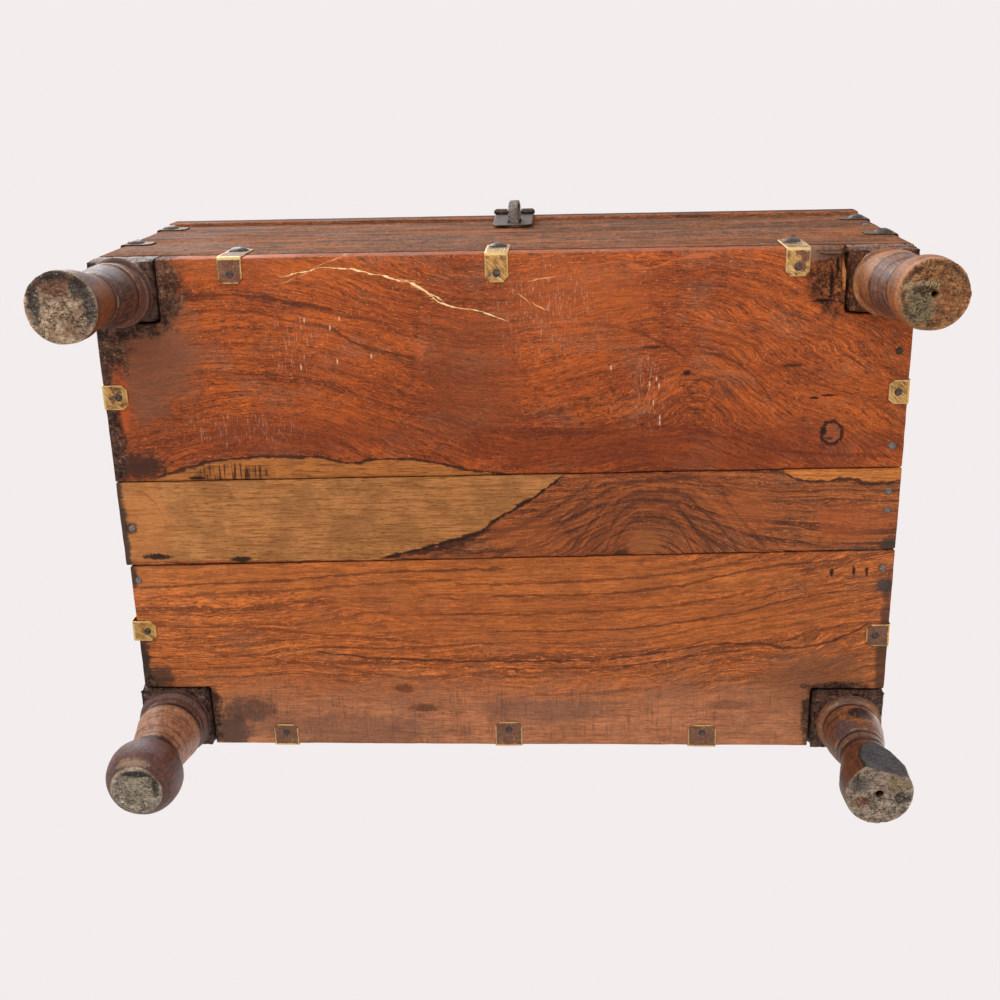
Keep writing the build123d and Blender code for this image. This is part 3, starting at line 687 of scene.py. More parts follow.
def old_wood(
    name, tones, grain=ALONG_X, ring=9.0, seed=0.0, bend=(), knots=(), figure=0.6, marks=None,
    coarse=1.0, rough=0.5, specular=0.12,
):
    """Oiled old hardwood, with tones light, middle and dark: the figure and the fine grain both
    follow one field that a bend and knots (place, radii, strength) lead aside. Coarse widens the
    fine grain.

    marks paints more on top: it takes the shader, the colour and the height, and returns both.
    """
    light, middle, dark = tones
    s = Shader(name)
    spot = s.vector("ADD", grain_place(s, grain), (seed * 37.0, seed * 11.0, seed * 23.0))
    along, across, through = s.split(spot)
    field = s.scaled(through, 0.35, across)
    for sizes, reach in figure_waves:
        field = s.scaled(s.noise(spot, sizes, 2.0), reach, field)
    if bend:
        field = s.minus(field, s.curve(s.x, bend))
    for place, radii, strength in knots:
        squared = s.math("POWER", s.near(place, radii), 2.0)
        swelling = s.math("EXPONENT", s.times(squared, -1.0))
        field = s.scaled(swelling, strength, field)
    flow = s.join(along, field, through)
    rings = s.noise_line(s.math("DIVIDE", field, ring), 3.0, 0.6)
    lines = s.noise_line(s.math("DIVIDE", field, ring * 0.2), 3.0, 0.7)
    streaks = s.noise(flow, (34.0, 1.7 * coarse, 10.0 * coarse), 4.0, 0.7)
    dashes = s.noise(flow, (8.0, 0.8 * coarse, 5.0 * coarse), 3.0, 0.68)
    pores = s.noise(flow, (3.6, 0.7 * coarse, 3.0 * coarse), 2.0, 0.6)
    cloud = s.noise(spot, (80.0, 40.0, 40.0), 4.0, 0.62)
    mottle = s.noise(spot, (9.0, 5.0, 5.0), 4.0, 0.72)
    speck = s.noise(spot, (2.0, 1.5, 1.5), 3.0, 0.7)
    haze = s.noise(spot, (46.0, 30.0, 30.0), 4.0, 0.66)
    colour = s.blend(s.fade(cloud, 0.36, 0.62), s.tone(middle), s.tone(light))
    colour = s.layered(colour, (
        (mottle, 0.5, 0.68, 0.6, dark, 1.15), (mottle, 0.46, 0.3, 0.5, light, 1.15),
        (haze, 0.5, 0.66, 0.45, (140, 98, 72), 1.0), (rings, 0.48, 0.64, figure, dark, 1.0),
        (lines, 0.5, 0.66, 0.6 * figure, dark, 1.0), (streaks, 0.5, 0.64, 0.6, dark, 1.0),
        (streaks, 0.46, 0.32, 0.6, light, 1.16), (dashes, 0.52, 0.66, 0.6, dark, 0.8),
        (dashes, 0.44, 0.32, 0.6, light, 1.3), (pores, 0.56, 0.66, 0.6, dark, 0.6),
        (speck, 0.6, 0.7, 0.6, (214, 152, 104), 1.0), (speck, 0.4, 0.28, 0.5, dark, 0.6),
    ))
    height = s.scaled(pores, -1.0, 2.0)
    for value, factor in ((dashes, -0.8), (streaks, -0.6), (speck, 0.6)):
        height = s.scaled(value, factor, height)
    if marks:
        colour, height = marks(s, colour, height)
    roughness = s.scaled(speck, 0.3, s.fade(cloud, 0.3, 0.7, rough - 0.2, rough))
    return s.finish(colour, roughness, height, depth=0.4, specular=specular)


def crosswise(s, colour, height, places, tone=FLECK, strength=0.34):
    """Fine pale scratches across the grain inside ragged patches (centre, radii)."""
    lines = s.fade(s.noise(s.place, (0.9, 7.0, 7.0), 3.0, 0.65), 0.56, 0.68)
    for centre, radii in places:
        inside = s.times(lines, s.patch(centre, radii, strength, 7.0))
        colour = s.over(colour, inside, tone)
        height = s.scaled(inside, -0.8, height)
    return colour, height


GRIME = ((44, 36, 33), (104, 75, 60), (166, 132, 106))
CRUMBS = ((54, 34, 26), (138, 82, 48), (190, 128, 78))


def crust(s, colour, height, places, strength=0.85, tones=GRIME):
    """Caked dirt or crumbling wood, in dark, middle and light grains."""
    dark, middle, light = tones
    clumps = s.ragged(-0.35, 7.0, 0.7)
    grains = s.math("ADD", s.noise(s.place, 1.9, 4.0, 0.75), clumps)
    caked = s.blend(s.fade(grains, 0.42, 0.56), s.tone(dark), s.tone(middle))
    caked = s.over(caked, s.fade(grains, 0.6, 0.72), light)
    cracks = s.cracks(9.0, 0.9)
    caked = s.over(caked, cracks, dark, 0.6)
    grains = s.minus(grains, cracks)
    for centre, radii in places:
        inside = s.patch(centre, radii, strength, 9.0)
        colour = s.blend(inside, colour, caked)
        height = s.scaled(s.times(inside, grains), 8.0, height)
    return colour, height


def stains_and_sheen(s, colour, places):
    """Ragged patches of dirt, polish, filler and painted sheen: centre, radii, tone, strength and
    raggedness.
    """
    for centre, radii, tone, strength, grain in places:
        colour = s.over(colour, s.patch(centre, radii, strength, grain), tone)
    return colour


def drawn(s, colour, height, lines):
    """Wavering lines along the grain: points, width, tone and strength."""
    for points, width, tone, strength in lines:
        line = s.trace(points, width, strength)
        colour = s.over(colour, line, tone)
        height = s.scaled(line, -0.6, height)
    return colour, height


def at(x, y):
    """A place on the underside of the bottom."""
    return (x, y, underside)


def flat(x, y):
    """Radii on the underside that reach well into the board's thickness."""
    return (x, y, 40.0)


def spots(*places):
    """Places on the underside given as x, y and their reach in x and y, with what follows them."""
    return [(at(x, y), flat(far_x, far_y), *look) for x, y, far_x, far_y, *look in places]


split_line = (
    (-161.4, -189.1), (-142.1, -192.1), (-125.9, -194.8), (-112.1, -193.8), (-92.4, -189.4),
    (-72.8, -185.1), (-61.0, -181.6), (-51.4, -174.5), (-41.7, -167.4), (-23.9, -163.1),
    (-8.1, -158.9), (7.6, -153.3),
)
split_branch = ((-142.1, -191.5), (-125.7, -198.3), (-109.5, -203.0))
sapwood_edge = (
    (-275.0, -31.0), (-244.0, -41.0), (-216.0, -47.0), (-186.0, -49.0), (-153.0, -48.7),
    (-132.0, -47.0), (-117.5, -43.4), (-100.6, -46.0), (-69.0, -46.0), (-44.5, -42.0),
    (-20.0, -37.0), (6.5, -33.0),
)
small_knot = at(250, -64.8)


def front_board_figure(s, colour, height):
    """The sapwood along the board's rear edge, and the darker and lighter lines of its figure."""
    sap = s.beyond(sapwood_edge)
    colour = s.blend(s.times(sap, 0.9), colour, s.streaked((184, 120, 62), (130, 84, 44)))
    colour, height = drawn(s, colour, height, (
        (sapwood_edge, 1.8, INK, 0.9),
        (((-247, -167), (-234, -174), (-214, -176), (-184, -174.5), (-154, -169), (-124, -163.6)),
         3.0, (76, 38, 26), 0.7),
        (((-250, -154), (-226, -163), (-190, -163), (-160, -157), (-130, -149)), 2.2, (84, 42, 28), 0.5),
        (((-139, -154), (-119, -145), (-104, -136), (-88, -131), (-60, -126)), 2.6, (76, 38, 26), 0.65),
        (((96, -193), (110.6, -191), (132, -197), (159, -200)), 2.4, (190, 104, 56), 0.6),
        (((60, -150), (95, -146), (120, -136), (140, -122)), 2.4, (84, 40, 26), 0.6),
        (((150, -128), (176, -120), (196, -102), (206, -84)), 2.2, (84, 40, 26), 0.6),
        (((20, -70), (70, -66), (120, -70), (170, -62), (220, -50), (300, -46)), 2.6, (80, 36, 24), 0.5),
    ))
    return colour, height


def front_board_stains(s, colour, height):
    """Lighter and darker places, small dark pits, and a comb of dark ticks in the sapwood."""
    colour = stains_and_sheen(s, colour, spots(
        (60, -168, 62, 34, (172, 90, 44), 0.35, 16.0),
        (-190, -195, 90, 14, (176, 92, 44), 0.3, 14.0),
        (-20, -108, 44, 62, (118, 64, 40), 0.45, 22.0),
        (130, -54, 190, 22, (104, 46, 27), 0.5, 18.0),
        (-150, -66, 120, 16, (118, 56, 34), 0.45, 18.0),
        (-268, -132, 46, 60, (124, 84, 62), 0.7, 22.0),
        (-292, -98, 8, 32, (184, 84, 40), 0.65, 7.0),
        (-304, -110, 7, 120, (58, 48, 44), 0.8, 9.0),
        (-285, -42, 28, 13, (46, 36, 32), 0.85, 6.0),
        (-239, -32.4, 8, 1.6, BLACK, 0.95, 3.0),
        (140.6, -112, 3.2, 2.6, BLACK, 0.95, 3.0),
        (166, -112, 26, 3, (186, 102, 54), 0.4, 6.0),
        (235.6, -92, 4.0, 1.2, BLACK, 0.9, 2.0),
        (246, -94, 7.0, 1.0, BLACK, 0.9, 2.0),
        (115, -132, 10, 1.4, (60, 34, 26), 0.8, 3.0),
        (218.5, -117, 9, 1.4, (60, 34, 26), 0.8, 3.0),
    ))
    ticks = s.fade(s.noise(s.place, (2.2, 40.0, 40.0), 2.0), 0.46, 0.56)
    comb = s.times(ticks, s.patch(at(-209, -37), flat(34, 8), 0.9, 6.0))
    return s.over(colour, comb, INK), height


def front_board_knots(s, colour, height):
    """A knot with rings round it, and a small one with a black edge."""
    swirl = s.ragged(s.distance(at(152, -99), (0.8, 1.0, 0.2)), 22.0, 16.0)
    rings = s.fade(s.noise_line(s.math("DIVIDE", swirl, 3.4), 3.0, 0.6), 0.48, 0.6, 0.0, 0.7)
    rings = s.times(rings, s.fade(swirl, 30.0, 16.0))
    colour = s.over(colour, rings, (82, 42, 29))
    knot = s.distance(small_knot, (1.0, 0.86, 0.2))
    knot = s.ragged(s.minus(knot, 1.5), 5.0, 7.0)
    colour = s.blend(s.fade(knot, 9.6, 8.4, 0.0, 0.8), colour, s.streaked((168, 92, 56), (112, 66, 46)))
    colour = s.over(colour, s.fade(s.apart(knot, 9.6), 1.9, 0.6, 0.0, 0.9), (38, 26, 22))
    colour = stains_and_sheen(s, colour, spots(
        (244.5, -66, 2.6, 3.4, BLACK, 0.9, 3.0), (249, -60.5, 3.0, 1.6, INK, 0.8, 2.0),
    ))
    return colour, height


def front_board_dirt(s, colour, height):
    """Scratches across the grain, and crusts round both legs, with a hollow beside the right one."""
    colour, height = crosswise(s, colour, height, spots(
        (-152, -136, 30, 30), (36, -160, 44, 44), (112, -100, 16, 40),
        (-200, -72, 60, 16),
    ))
    colour, height = crust(s, colour, height, spots(
        (-250, -182, 19, 34), (-296, -152, 20, 44), (-274, -158, 30, 16),
        (-300, -60, 9, 44),
    ))
    colour, height = crust(s, colour, height, spots((246, -184, 22, 34)), 0.9, CRUMBS)
    colour = stains_and_sheen(s, colour, spots(
        (252.8, -186, 2.4, 15, (216, 144, 84), 0.9, 3.0),
        (243.5, -178, 1.7, 13, BLACK, 0.9, 3.0),
        (247.5, -190, 1.4, 9, BLACK, 0.9, 3.0),
        (238, -165, 9, 1.5, BLACK, 0.9, 3.0),
        (232, -200, 26, 7, (128, 98, 80), 0.85, 5.0),
    ))
    return colour, height


fleck_places = (
    (113, -104), (120, -102.5), (121, -74), (84, -117), (-118.5, -156.5), (-145, -156), (-122, -124),
    (118, -108), (116, -90), (121, -78), (-126, -150), (-150, -120), (-96, -128),
)


def front_board_split(s, colour, height):
    """Pale flecks, and a pale split that frays in the middle, with scratches past its end."""
    for place in fleck_places:
        colour = s.over(colour, s.patch(at(*place), flat(0.7, 2.4), 0.75, 2.0), FLECK)
    splinters = s.fade(s.noise(s.place, (9.0, 1.1, 4.0), 3.0), 0.54, 0.64)
    frayed = s.times(splinters, s.trace(split_line[5:9], 6.0, 0.85))
    colour = s.over(colour, frayed, (226, 168, 110))
    colour, height = drawn(s, colour, height, (
        (split_line, 0.7, STRAW, 1.0), (split_branch, 0.6, (206, 150, 110), 0.85),
        (((-166.0, -183.0), (-154.7, -186.0), (-138.2, -191.7)), 0.5, (206, 150, 110), 0.8),
        (((-68.0, -184.0), (-58.0, -179.5), (-50.0, -174.5), (-40.0, -168.5)), 1.3, STRAW, 1.0),
        (((24, -168), (30, -164), (38, -160)), 0.8, (226, 170, 110), 0.8),
        (((22, -181), (34, -184), (44, -186)), 0.8, (226, 170, 110), 0.6),
        (((14, -174), (20, -170), (26, -163)), 0.8, (226, 170, 110), 0.7),
    ))
    return colour, height


def front_board_marks(s, colour, height):
    """All that lies on the front board, from its figure up to its scratches."""
    for paint in (
        front_board_figure, front_board_stains, front_board_knots, front_board_dirt, front_board_split
    ):
        colour, height = paint(s, colour, height)
    return colour, height


tan_edge = (
    (-99.0, 37.0), (-62.0, 27.0), (-30.0, 18.0), (-13.0, 11.0), (-10.0, 7.0), (11.0, -6.0), (32.0, -20.0),
    (50.0, -34.5),
)
pale_strip = (
    (214.5, -38.0), (222.0, -30.0), (240.0, -26.0), (262.0, -28.0), (284.0, -24.0), (304.0, -27.0),
)
knot_arcs = (
    ((60, 40), (80, 30), (86, 8), (98, -6), (107, -10), (120, -11), (132, -8), (149, 12), (164, 30),
     (170, 38)),
    ((84, 40), (92, 16), (104, 4), (120, 2), (134, 8), (146, 26), (150, 38)),
    ((30, 22), (40, 14), (74, -15), (94, -25), (115, -27.5), (152, -29), (176, -20), (204, 10),
     (216, 30)),
    ((52, 30), (64, 14), (84, -8), (108, -18), (134, -18), (156, -2), (178, 22), (188, 36)),
    ((136, -5.5), (157, 17), (178, 30)), ((168, -18), (188, 8), (207, 30)),
    ((-60, 36), (-20, 22), (20, 6), (50, -12), (70, -28)), ((-10, 36), (20, 20), (44, 4), (66, -14)),
)


def middle_board_marks(s, colour, height):
    """Tan sapwood on the left and in the right front corner, arcs round a knot, dirt at the ends."""
    tan = s.minus(1.0, s.beyond(tan_edge))
    tan = s.times(tan, s.fade(s.x, 54.0, 46.0))
    colour = s.blend(tan, colour, s.streaked((186, 130, 76), (142, 94, 50)))
    corner = s.times(s.minus(1.0, s.beyond(pale_strip)), s.fade(s.x, 212.0, 218.0))
    colour = s.blend(corner, colour, s.streaked((208, 132, 66), (160, 92, 44)))
    colour, height = drawn(s, colour, height, [(arc, 3.2, (76, 46, 34), 0.6) for arc in knot_arcs])
    colour, height = drawn(s, colour, height, (
        (((56, 36), (70, 14), (90, -14), (112, -23), (140, -23), (164, -8), (184, 16), (194, 34)),
         3.0, (192, 108, 54), 0.3),
        (((74, 38), (84, 16), (96, 2), (112, -5), (128, -4), (144, 12), (158, 34)),
         3.0, (186, 104, 54), 0.3),
        (((150, -30), (172, -24), (196, -2), (212, 24)), 3.4, (190, 106, 54), 0.3),
        (tan_edge, 2.6, (40, 27, 22), 0.95),
        (((-80, 33), (-56, 29), (-30, 21), (-8, 9)), 3.4, INK, 0.8),
        (pale_strip, 2.2, INK, 0.9),
        (((-292, -22), (-276, -14), (-268, 6), (-262, 26)), 1.6, (112, 66, 40), 0.6),
        (((180, -8), (214, -10), (250, -6), (292, -12)), 2.0, (96, 58, 38), 0.6),
        (((190, 16), (226, 12), (262, 16), (300, 10)), 2.0, (96, 58, 38), 0.6),
    ))
    colour = stains_and_sheen(s, colour, spots(
        (111, 24, 17, 13, (166, 104, 60), 0.5, 12.0),
        (92, 33, 7, 5, (66, 40, 32), 0.8, 5.0),
        (120, 36, 10, 3, (56, 36, 28), 0.8, 5.0),
        (-284, 6, 22, 46, (178, 110, 60), 0.4, 7.0),
        (-304, 10, 6, 60, (54, 44, 40), 0.9, 6.0),
        (-296.5, 9, 6, 6, (44, 36, 33), 0.8, 4.0),
        (190, -4, 26, 22, (176, 98, 52), 0.3, 12.0),
        (270, 8, 36, 18, (164, 84, 44), 0.4, 12.0),
        (20, 18, 34, 16, (168, 94, 50), 0.35, 10.0),
        (274, 33.5, 27, 6.5, (74, 68, 62), 0.95, 3.0),
        (300, 30, 10, 12, (60, 52, 46), 0.9, 4.0),
        (-278, 33.5, 14, 3.0, (34, 26, 23), 0.95, 3.0),
        (-210, 36.0, 10, 3.0, (40, 28, 23), 0.95, 3.0),
        (-100, 40, 200, 2.2, (44, 30, 24), 0.7, 4.0),
    ))
    return colour, height


def rear_board_marks(s, colour, height):
    """Golden streaks, long dark lines, a dull brushed strip along the rear edge, and dirt."""
    gold = s.patch(at(-60, 52), flat(330, 22), 0.55, 20.0)
    colour = s.blend(gold, colour, s.streaked((206, 126, 62), (160, 88, 44)))
    amber = s.patch(at(40, 88), flat(260, 26), 0.4, 24.0)
    colour = s.blend(amber, colour, s.streaked((196, 116, 58), (150, 82, 42)))
    dull = s.fade(s.ragged(s.y, 24.0, 60.0), 160.0, 200.0, 0.0, 0.7)
    colour = s.blend(dull, colour, s.streaked((192, 132, 94), (144, 97, 72)))
    brushed = s.fade(s.noise(s.place, (1.7, 26.0, 26.0), 4.0, 0.7), 0.5, 0.64, 0.0, 0.5)
    low = s.fade(s.ragged(s.y, 34.0, 46.0), 158.0, 186.0)
    low = s.times(low, s.fade(s.lumps(16.0), 0.4, 0.6, 0.25, 1.0))
    colour = s.over(colour, s.times(brushed, low), (84, 60, 52))
    shades = (84, 46, 30)
    colour, height = drawn(s, colour, height, (
        (((-297, 61), (-248, 58), (-182, 54.5), (-99.5, 48), (3, 44.6)), 1.8, shades, 0.65),
        (((-290, 70), (-240, 66), (-180, 64), (-110, 58), (-40, 55)), 2.2, shades, 0.5),
        (((-11.5, 68), (70, 67), (137, 60), (179, 50), (214, 43), (261, 39)), 1.6, shades, 0.7),
        (((-40, 58), (40, 57), (110, 52), (160, 45), (190, 40)), 1.8, shades, 0.6),
        (((-60, 84), (20, 84), (90, 81), (150, 74), (200, 64), (240, 56)), 1.6, shades, 0.5),
        (((-12, 99), (65, 98.6), (106, 96), (170, 86.5), (218, 74), (267, 64)), 1.4, shades, 0.65),
        (((-160, 116), (-88, 124), (2, 126), (63, 125), (117, 119.5), (170, 111), (202, 110), (225, 114),
          (245, 112), (270, 103), (292, 91)),
         1.4, (70, 38, 27), 0.8),
        (((-13, 132), (74, 131.5), (128, 125.5), (171, 118), (192, 117)), 1.1, (76, 42, 29), 0.65),
        (((-250, 92), (-190, 98), (-120, 104), (-60, 110)), 2.2, (110, 58, 34), 0.6),
        (((-280, 112), (-210, 122), (-150, 130), (-90, 140)), 2.6, (110, 58, 34), 0.6),
        (((20, 156), (80, 154), (150, 146), (210, 140)), 2.0, (100, 58, 38), 0.5),
    ))
    colour = stains_and_sheen(s, colour, spots(
        (-85, 151, 10, 5, (96, 56, 38), 0.8, 5.0),
        (-68, 168.5, 14, 4, (84, 54, 40), 0.8, 5.0),
        (-216, 172, 26, 14, (78, 58, 48), 0.8, 8.0),
        (-232, 190, 20, 18, (66, 54, 48), 0.85, 8.0),
        (30, 172, 60, 14, (104, 78, 66), 0.45, 12.0),
        (-140, 188, 120, 16, (100, 74, 62), 0.45, 12.0),
        (180, 165, 22, 5, (104, 68, 50), 0.6, 6.0),
        (250, 140, 50, 30, (120, 84, 62), 0.5, 14.0),
        (299, 60, 9, 8, (70, 62, 56), 0.95, 3.0),
        (302, 120, 7, 70, (66, 48, 40), 0.8, 8.0),
        (-300, 130, 8, 34, (42, 36, 34), 0.95, 8.0),
        (-292, 142, 20, 14, (60, 50, 45), 0.8, 8.0),
        (257, 49, 1.8, 4, BLACK, 0.9, 2.0),
        (274, 48, 1.8, 5, BLACK, 0.9, 2.0),
        (284, 48, 1.6, 4, BLACK, 0.9, 2.0),
        (290, 152, 2.0, 2.0, BLACK, 0.9, 2.0),
        (-300, 50, 5, 12, (50, 42, 38), 0.9, 5.0),
    ))
    colour, height = crosswise(s, colour, height, spots(
        (-150, 160, 90, 40), (120, 150, 120, 30),
    ), (196, 132, 88), 0.4)
    colour, height = crust(s, colour, height, spots(
        (-246, 174, 9, 30), (246, 176, 8, 26), (268, 148, 30, 5),
        (-300, 146, 12, 10),
    ))
    return colour, height


def wall_marks(s, colour, height):
    """Long dark checks in weathered walls, scuffs, and a dark joint along the bottom boards."""
    checks = s.fade(s.noise(s.place, (80.0, 60.0, 5.0), 4.0, 0.66), 0.61, 0.67, 0.0, 0.8)
    colour = s.over(colour, checks, (46, 33, 28))
    height = s.scaled(checks, -2.0, height)
    rust = s.fade(s.noise(s.place, (120.0, 90.0, 16.0), 4.0, 0.66), 0.5, 0.64, 0.0, 0.6)
    colour = s.over(colour, rust, (158, 92, 50))
    scuffs = s.fade(s.noise(s.place, (5.0, 5.0, 4.0), 4.0, 0.75), 0.6, 0.7, 0.0, 0.6)
    colour = s.over(colour, scuffs, (196, 150, 120))
    joint = s.apart(s.ragged(s.z, 12.0, 5.0), wall_foot + 3.5)
    dark_joint = s.times(s.fade(joint, 2.6, 0.8), s.fade(s.lumps(24.0), 0.36, 0.5, 0.2, 0.9))
    colour = s.over(colour, dark_joint, INK)
    return colour, height


def lid_marks(s, colour, height):
    """Darker along the upper part of the lid's front edge."""
    front_edge = s.fade(s.ragged(s.y, 12.0, 4.0), 3.0 - half_depth, -0.5 - half_depth)
    upper = s.fade(s.ragged(s.z, 12.0, 6.0), lid_top - 14.0, lid_top - 8.0)
    overlay = s.times(s.times(front_edge, upper), 0.85)
    return s.over(colour, overlay, (56, 40, 34)), height


case_tones = ((124, 77, 48), (103, 65, 43), (68, 46, 35))
case_wood = old_wood(
    "case_wood", case_tones, seed=5.0, ring=16.0, coarse=4.0, rough=0.75, marks=wall_marks, specular=0.1
)
end_wood = old_wood(
    "end_wood", case_tones, grain=ALONG_Y, seed=8.0, ring=9.0, coarse=2.0, rough=0.7, marks=wall_marks
)
lid_wood = old_wood(
    "lid_wood", ((150, 90, 54), (122, 72, 46), (72, 46, 35)), seed=3.0, ring=10.0, rough=0.7,
    marks=lid_marks,
)
batten_wood = old_wood(
    "batten_wood", ((150, 94, 62), (126, 76, 50), (82, 52, 40)), grain=ALONG_Y, seed=2.0, rough=0.7
)
front_board_wood = old_wood(
    "front_board_wood", ((174, 88, 38), (142, 68, 31), (84, 44, 29)), ring=11.0, figure=0.38,
    rough=0.55, bend=(
        (-305, 8), (-250, 0), (-200, -4), (-150, 0), (-100, 13), (-50, 30), (0, 40), (50, 37), (100, 29),
        (140, 27), (180, 36), (220, 52), (260, 70), (305, 92),
    ),
    knots=((at(150, -102), (40, 26, 80), 22.0), (small_knot, (18, 14, 60), 10.0)),
    marks=front_board_marks,
)
middle_board_wood = old_wood(
    "middle_board_wood", ((166, 96, 50), (140, 76, 42), (80, 48, 36)), seed=1.0, ring=7.0, figure=0.85,
    rough=0.55, knots=((at(113, 38), (48, 40, 80), 80.0),), marks=middle_board_marks,
)
rear_board_wood = old_wood(
    "rear_board_wood", ((196, 112, 54), (166, 92, 45), (110, 62, 37)), seed=6.0, ring=6.0, figure=0.8,
    rough=0.55, bend=(
        (-297, 0), (-100, 0), (63, -2), (117, -7), (170, -16), (214, -25), (267, -35), (305, -42),
    ),
    knots=((at(235, 122), (34, 20, 80), -12.0),), marks=rear_board_marks,
)

# ---- Leg wood ----


def band(s, colour, low, high, tone, strength):
    """A ragged band of colour round a leg, between two heights."""
    level = s.ragged(s.minus(s.z, 4.0), 12.0, 8.0)
    inside = s.times(s.fade(level, low - 1.5, low + 1.5), s.fade(level, high + 1.5, high - 1.5))
    patchy = s.fade(s.lumps(5.0), 0.36, 0.56, 0.45 * strength, strength)
    return s.over(colour, s.times(inside, patchy), tone)


def end_grain(s, sole, radius, tones, patches):
    """The colour and the height of a trodden sole: tones light, middle and dark, and its patches,
    each placed from the sole's centre.
    """
    light, middle, dark = tones
    out = s.distance((sole[0], sole[1], 0.0), (1.0, 1.0, 0.0))
    share = s.math("DIVIDE", s.ragged(s.minus(out, 1.2), 7.0, 2.4), radius)
    fibres = s.noise(s.place, (6.0, 1.2, 60.0), 4.0, 0.7)
    pits = s.noise(s.place, 1.6, 4.0, 0.75)
    end = s.blend(s.fade(s.lumps(7.0), 0.4, 0.6), s.tone(light), s.tone(middle))
    end = stains_and_sheen(s, end, [
        ((sole[0] + x, sole[1] + y, 0.0), (far_x, far_y, 9.0), *look)
        for (x, y), (far_x, far_y), *look in patches
    ])
    end = s.layered(end, (
        (fibres, 0.48, 0.62, 0.5, dark, 1.0), (pits, 0.54, 0.64, 0.85, dark, 0.75),
        (pits, 0.42, 0.32, 0.65, light, 1.3),
    ))
    cracks = s.cracks(9.0, 0.7)
    end = s.over(end, cracks, dark, 0.5)
    dark_arc = s.fade(s.apart(share, 0.84), 0.09, 0.02)
    dark_arc = s.times(dark_arc, s.fade(s.lumps(24.0), 0.46, 0.58, 0.0, 0.6))
    end = s.over(end, dark_arc, dark, 0.8)
    end = s.over(end, s.fade(share, 0.94, 0.99, 0.0, 0.35), (198, 172, 140))
    return end, s.minus(pits, cracks)


def leg_wood(
    node, tones, sole, sole_radius, sole_tones, bands, patches=(), sole_patches=(), overlay=GRIME, marks=None
):
    """Dark, handled wood of a turned leg: tones light, middle and dark, bands (low, high, tone,
    strength), patches of discoloured wood and painted sheen, and its sole's centre, radius, tones
    and patches. Each groove is darkened with painted shade, with a painted highlight beside it.
    """
    light, middle, dark = tones
    s = Shader(node + "_wood")
    cloud = s.noise(s.place, (15.0, 15.0, 20.0), 4.0, 0.7)
    veins = s.noise(s.place, (1.8, 1.8, 26.0), 4.0, 0.68)
    grit = s.noise(s.place, 1.6, 4.0, 0.74)
    turned = s.noise_line(s.math("DIVIDE", s.z, 4.0), 4.0, 0.72)
    colour = s.blend(s.fade(cloud, 0.4, 0.58), s.tone(dark), s.tone(middle))
    for low, high, tone, strength in bands:
        colour = band(s, colour, low, high, tone, strength)
    # On two legs one of these patches is painted sheen; the others are discoloured wood.
    colour = stains_and_sheen(s, colour, patches)
    colour = s.layered(colour, (
        (veins, 0.5, 0.64, 0.5, light, 1.0), (veins, 0.44, 0.32, 0.5, dark, 0.7),
        (turned, 0.54, 0.64, 0.5, dark, 0.6), (grit, 0.54, 0.66, 0.6, dark, 0.5),
        (grit, 0.4, 0.29, 0.55, (178, 150, 122), 1.0),
    ))
    height = s.scaled(grit, 1.0, s.scaled(veins, 0.6, turned))
    # Painted shade darkens each groove, and a painted highlight runs along the ridge beside it.
    for level, half_width, _ in leg_grooves[node]:
        wavering = s.ragged(s.minus(s.z, level + 0.8), 12.0, 1.6)
        groove_shade = s.fade(s.math("ABSOLUTE", wavering), 1.1 * half_width, 0.3 * half_width, 0.0, 0.85)
        colour = s.over(colour, groove_shade, (40, 31, 29))
        ridge_highlight = s.fade(s.apart(wavering, 1.7 * half_width), 0.9, 0.3)
        ridge_highlight = s.times(ridge_highlight, s.fade(s.lumps(9.0), 0.46, 0.6, 0.0, 0.6))
        colour = s.over(colour, ridge_highlight, (180, 148, 108))
    if marks:
        colour, height = marks(s, colour, height)
    block = ((sole[0], sole[1], underside + 2.0), (70.0, 70.0, 15.0))
    colour, height = crust(s, colour, height, (block,), 0.85, overlay)
    end, relief = end_grain(s, sole, sole_radius, sole_tones, sole_patches)
    on_sole = s.fade(s.ragged(s.z, 5.0, 1.2), 2.6, 1.7)
    colour = s.blend(on_sole, colour, end)
    height = s.scaled(s.times(on_sole, relief), 5.0, height)
    roughness = s.math("ADD", s.fade(cloud, 0.35, 0.65, 0.4, 0.56), s.times(on_sole, 0.25))
    return s.finish(colour, roughness, height, depth=0.35, specular=0.3)


club_sole = (277.0, 176.5)
worn_flat_faces = (0.25, -0.97, 0.0)
worn_flat_out, worn_flat_top = 18.0, 50.0


def worn_flat_marks(s, colour, height):
    """The black, granular flat that one side of the club foot is worn to."""
    from_axis = s.vector("SUBTRACT", s.place, (*club_sole, 0.0))
    out = s.vector("DOT_PRODUCT", from_axis, worn_flat_faces)
    flat_side = s.fade(s.ragged(out, 6.0, 1.6), worn_flat_out, worn_flat_out + 1.0)
    low = s.fade(s.ragged(s.z, 6.0, 6.0), worn_flat_top, worn_flat_top - 4.0)
    flat_side = s.times(flat_side, low)
    grains = s.noise(s.place, 1.8, 4.0, 0.75)
    dark_face = s.blend(s.fade(grains, 0.46, 0.62), s.tone((29, 28, 28)), s.tone((84, 78, 74)))
    return s.blend(flat_side, colour, dark_face), height


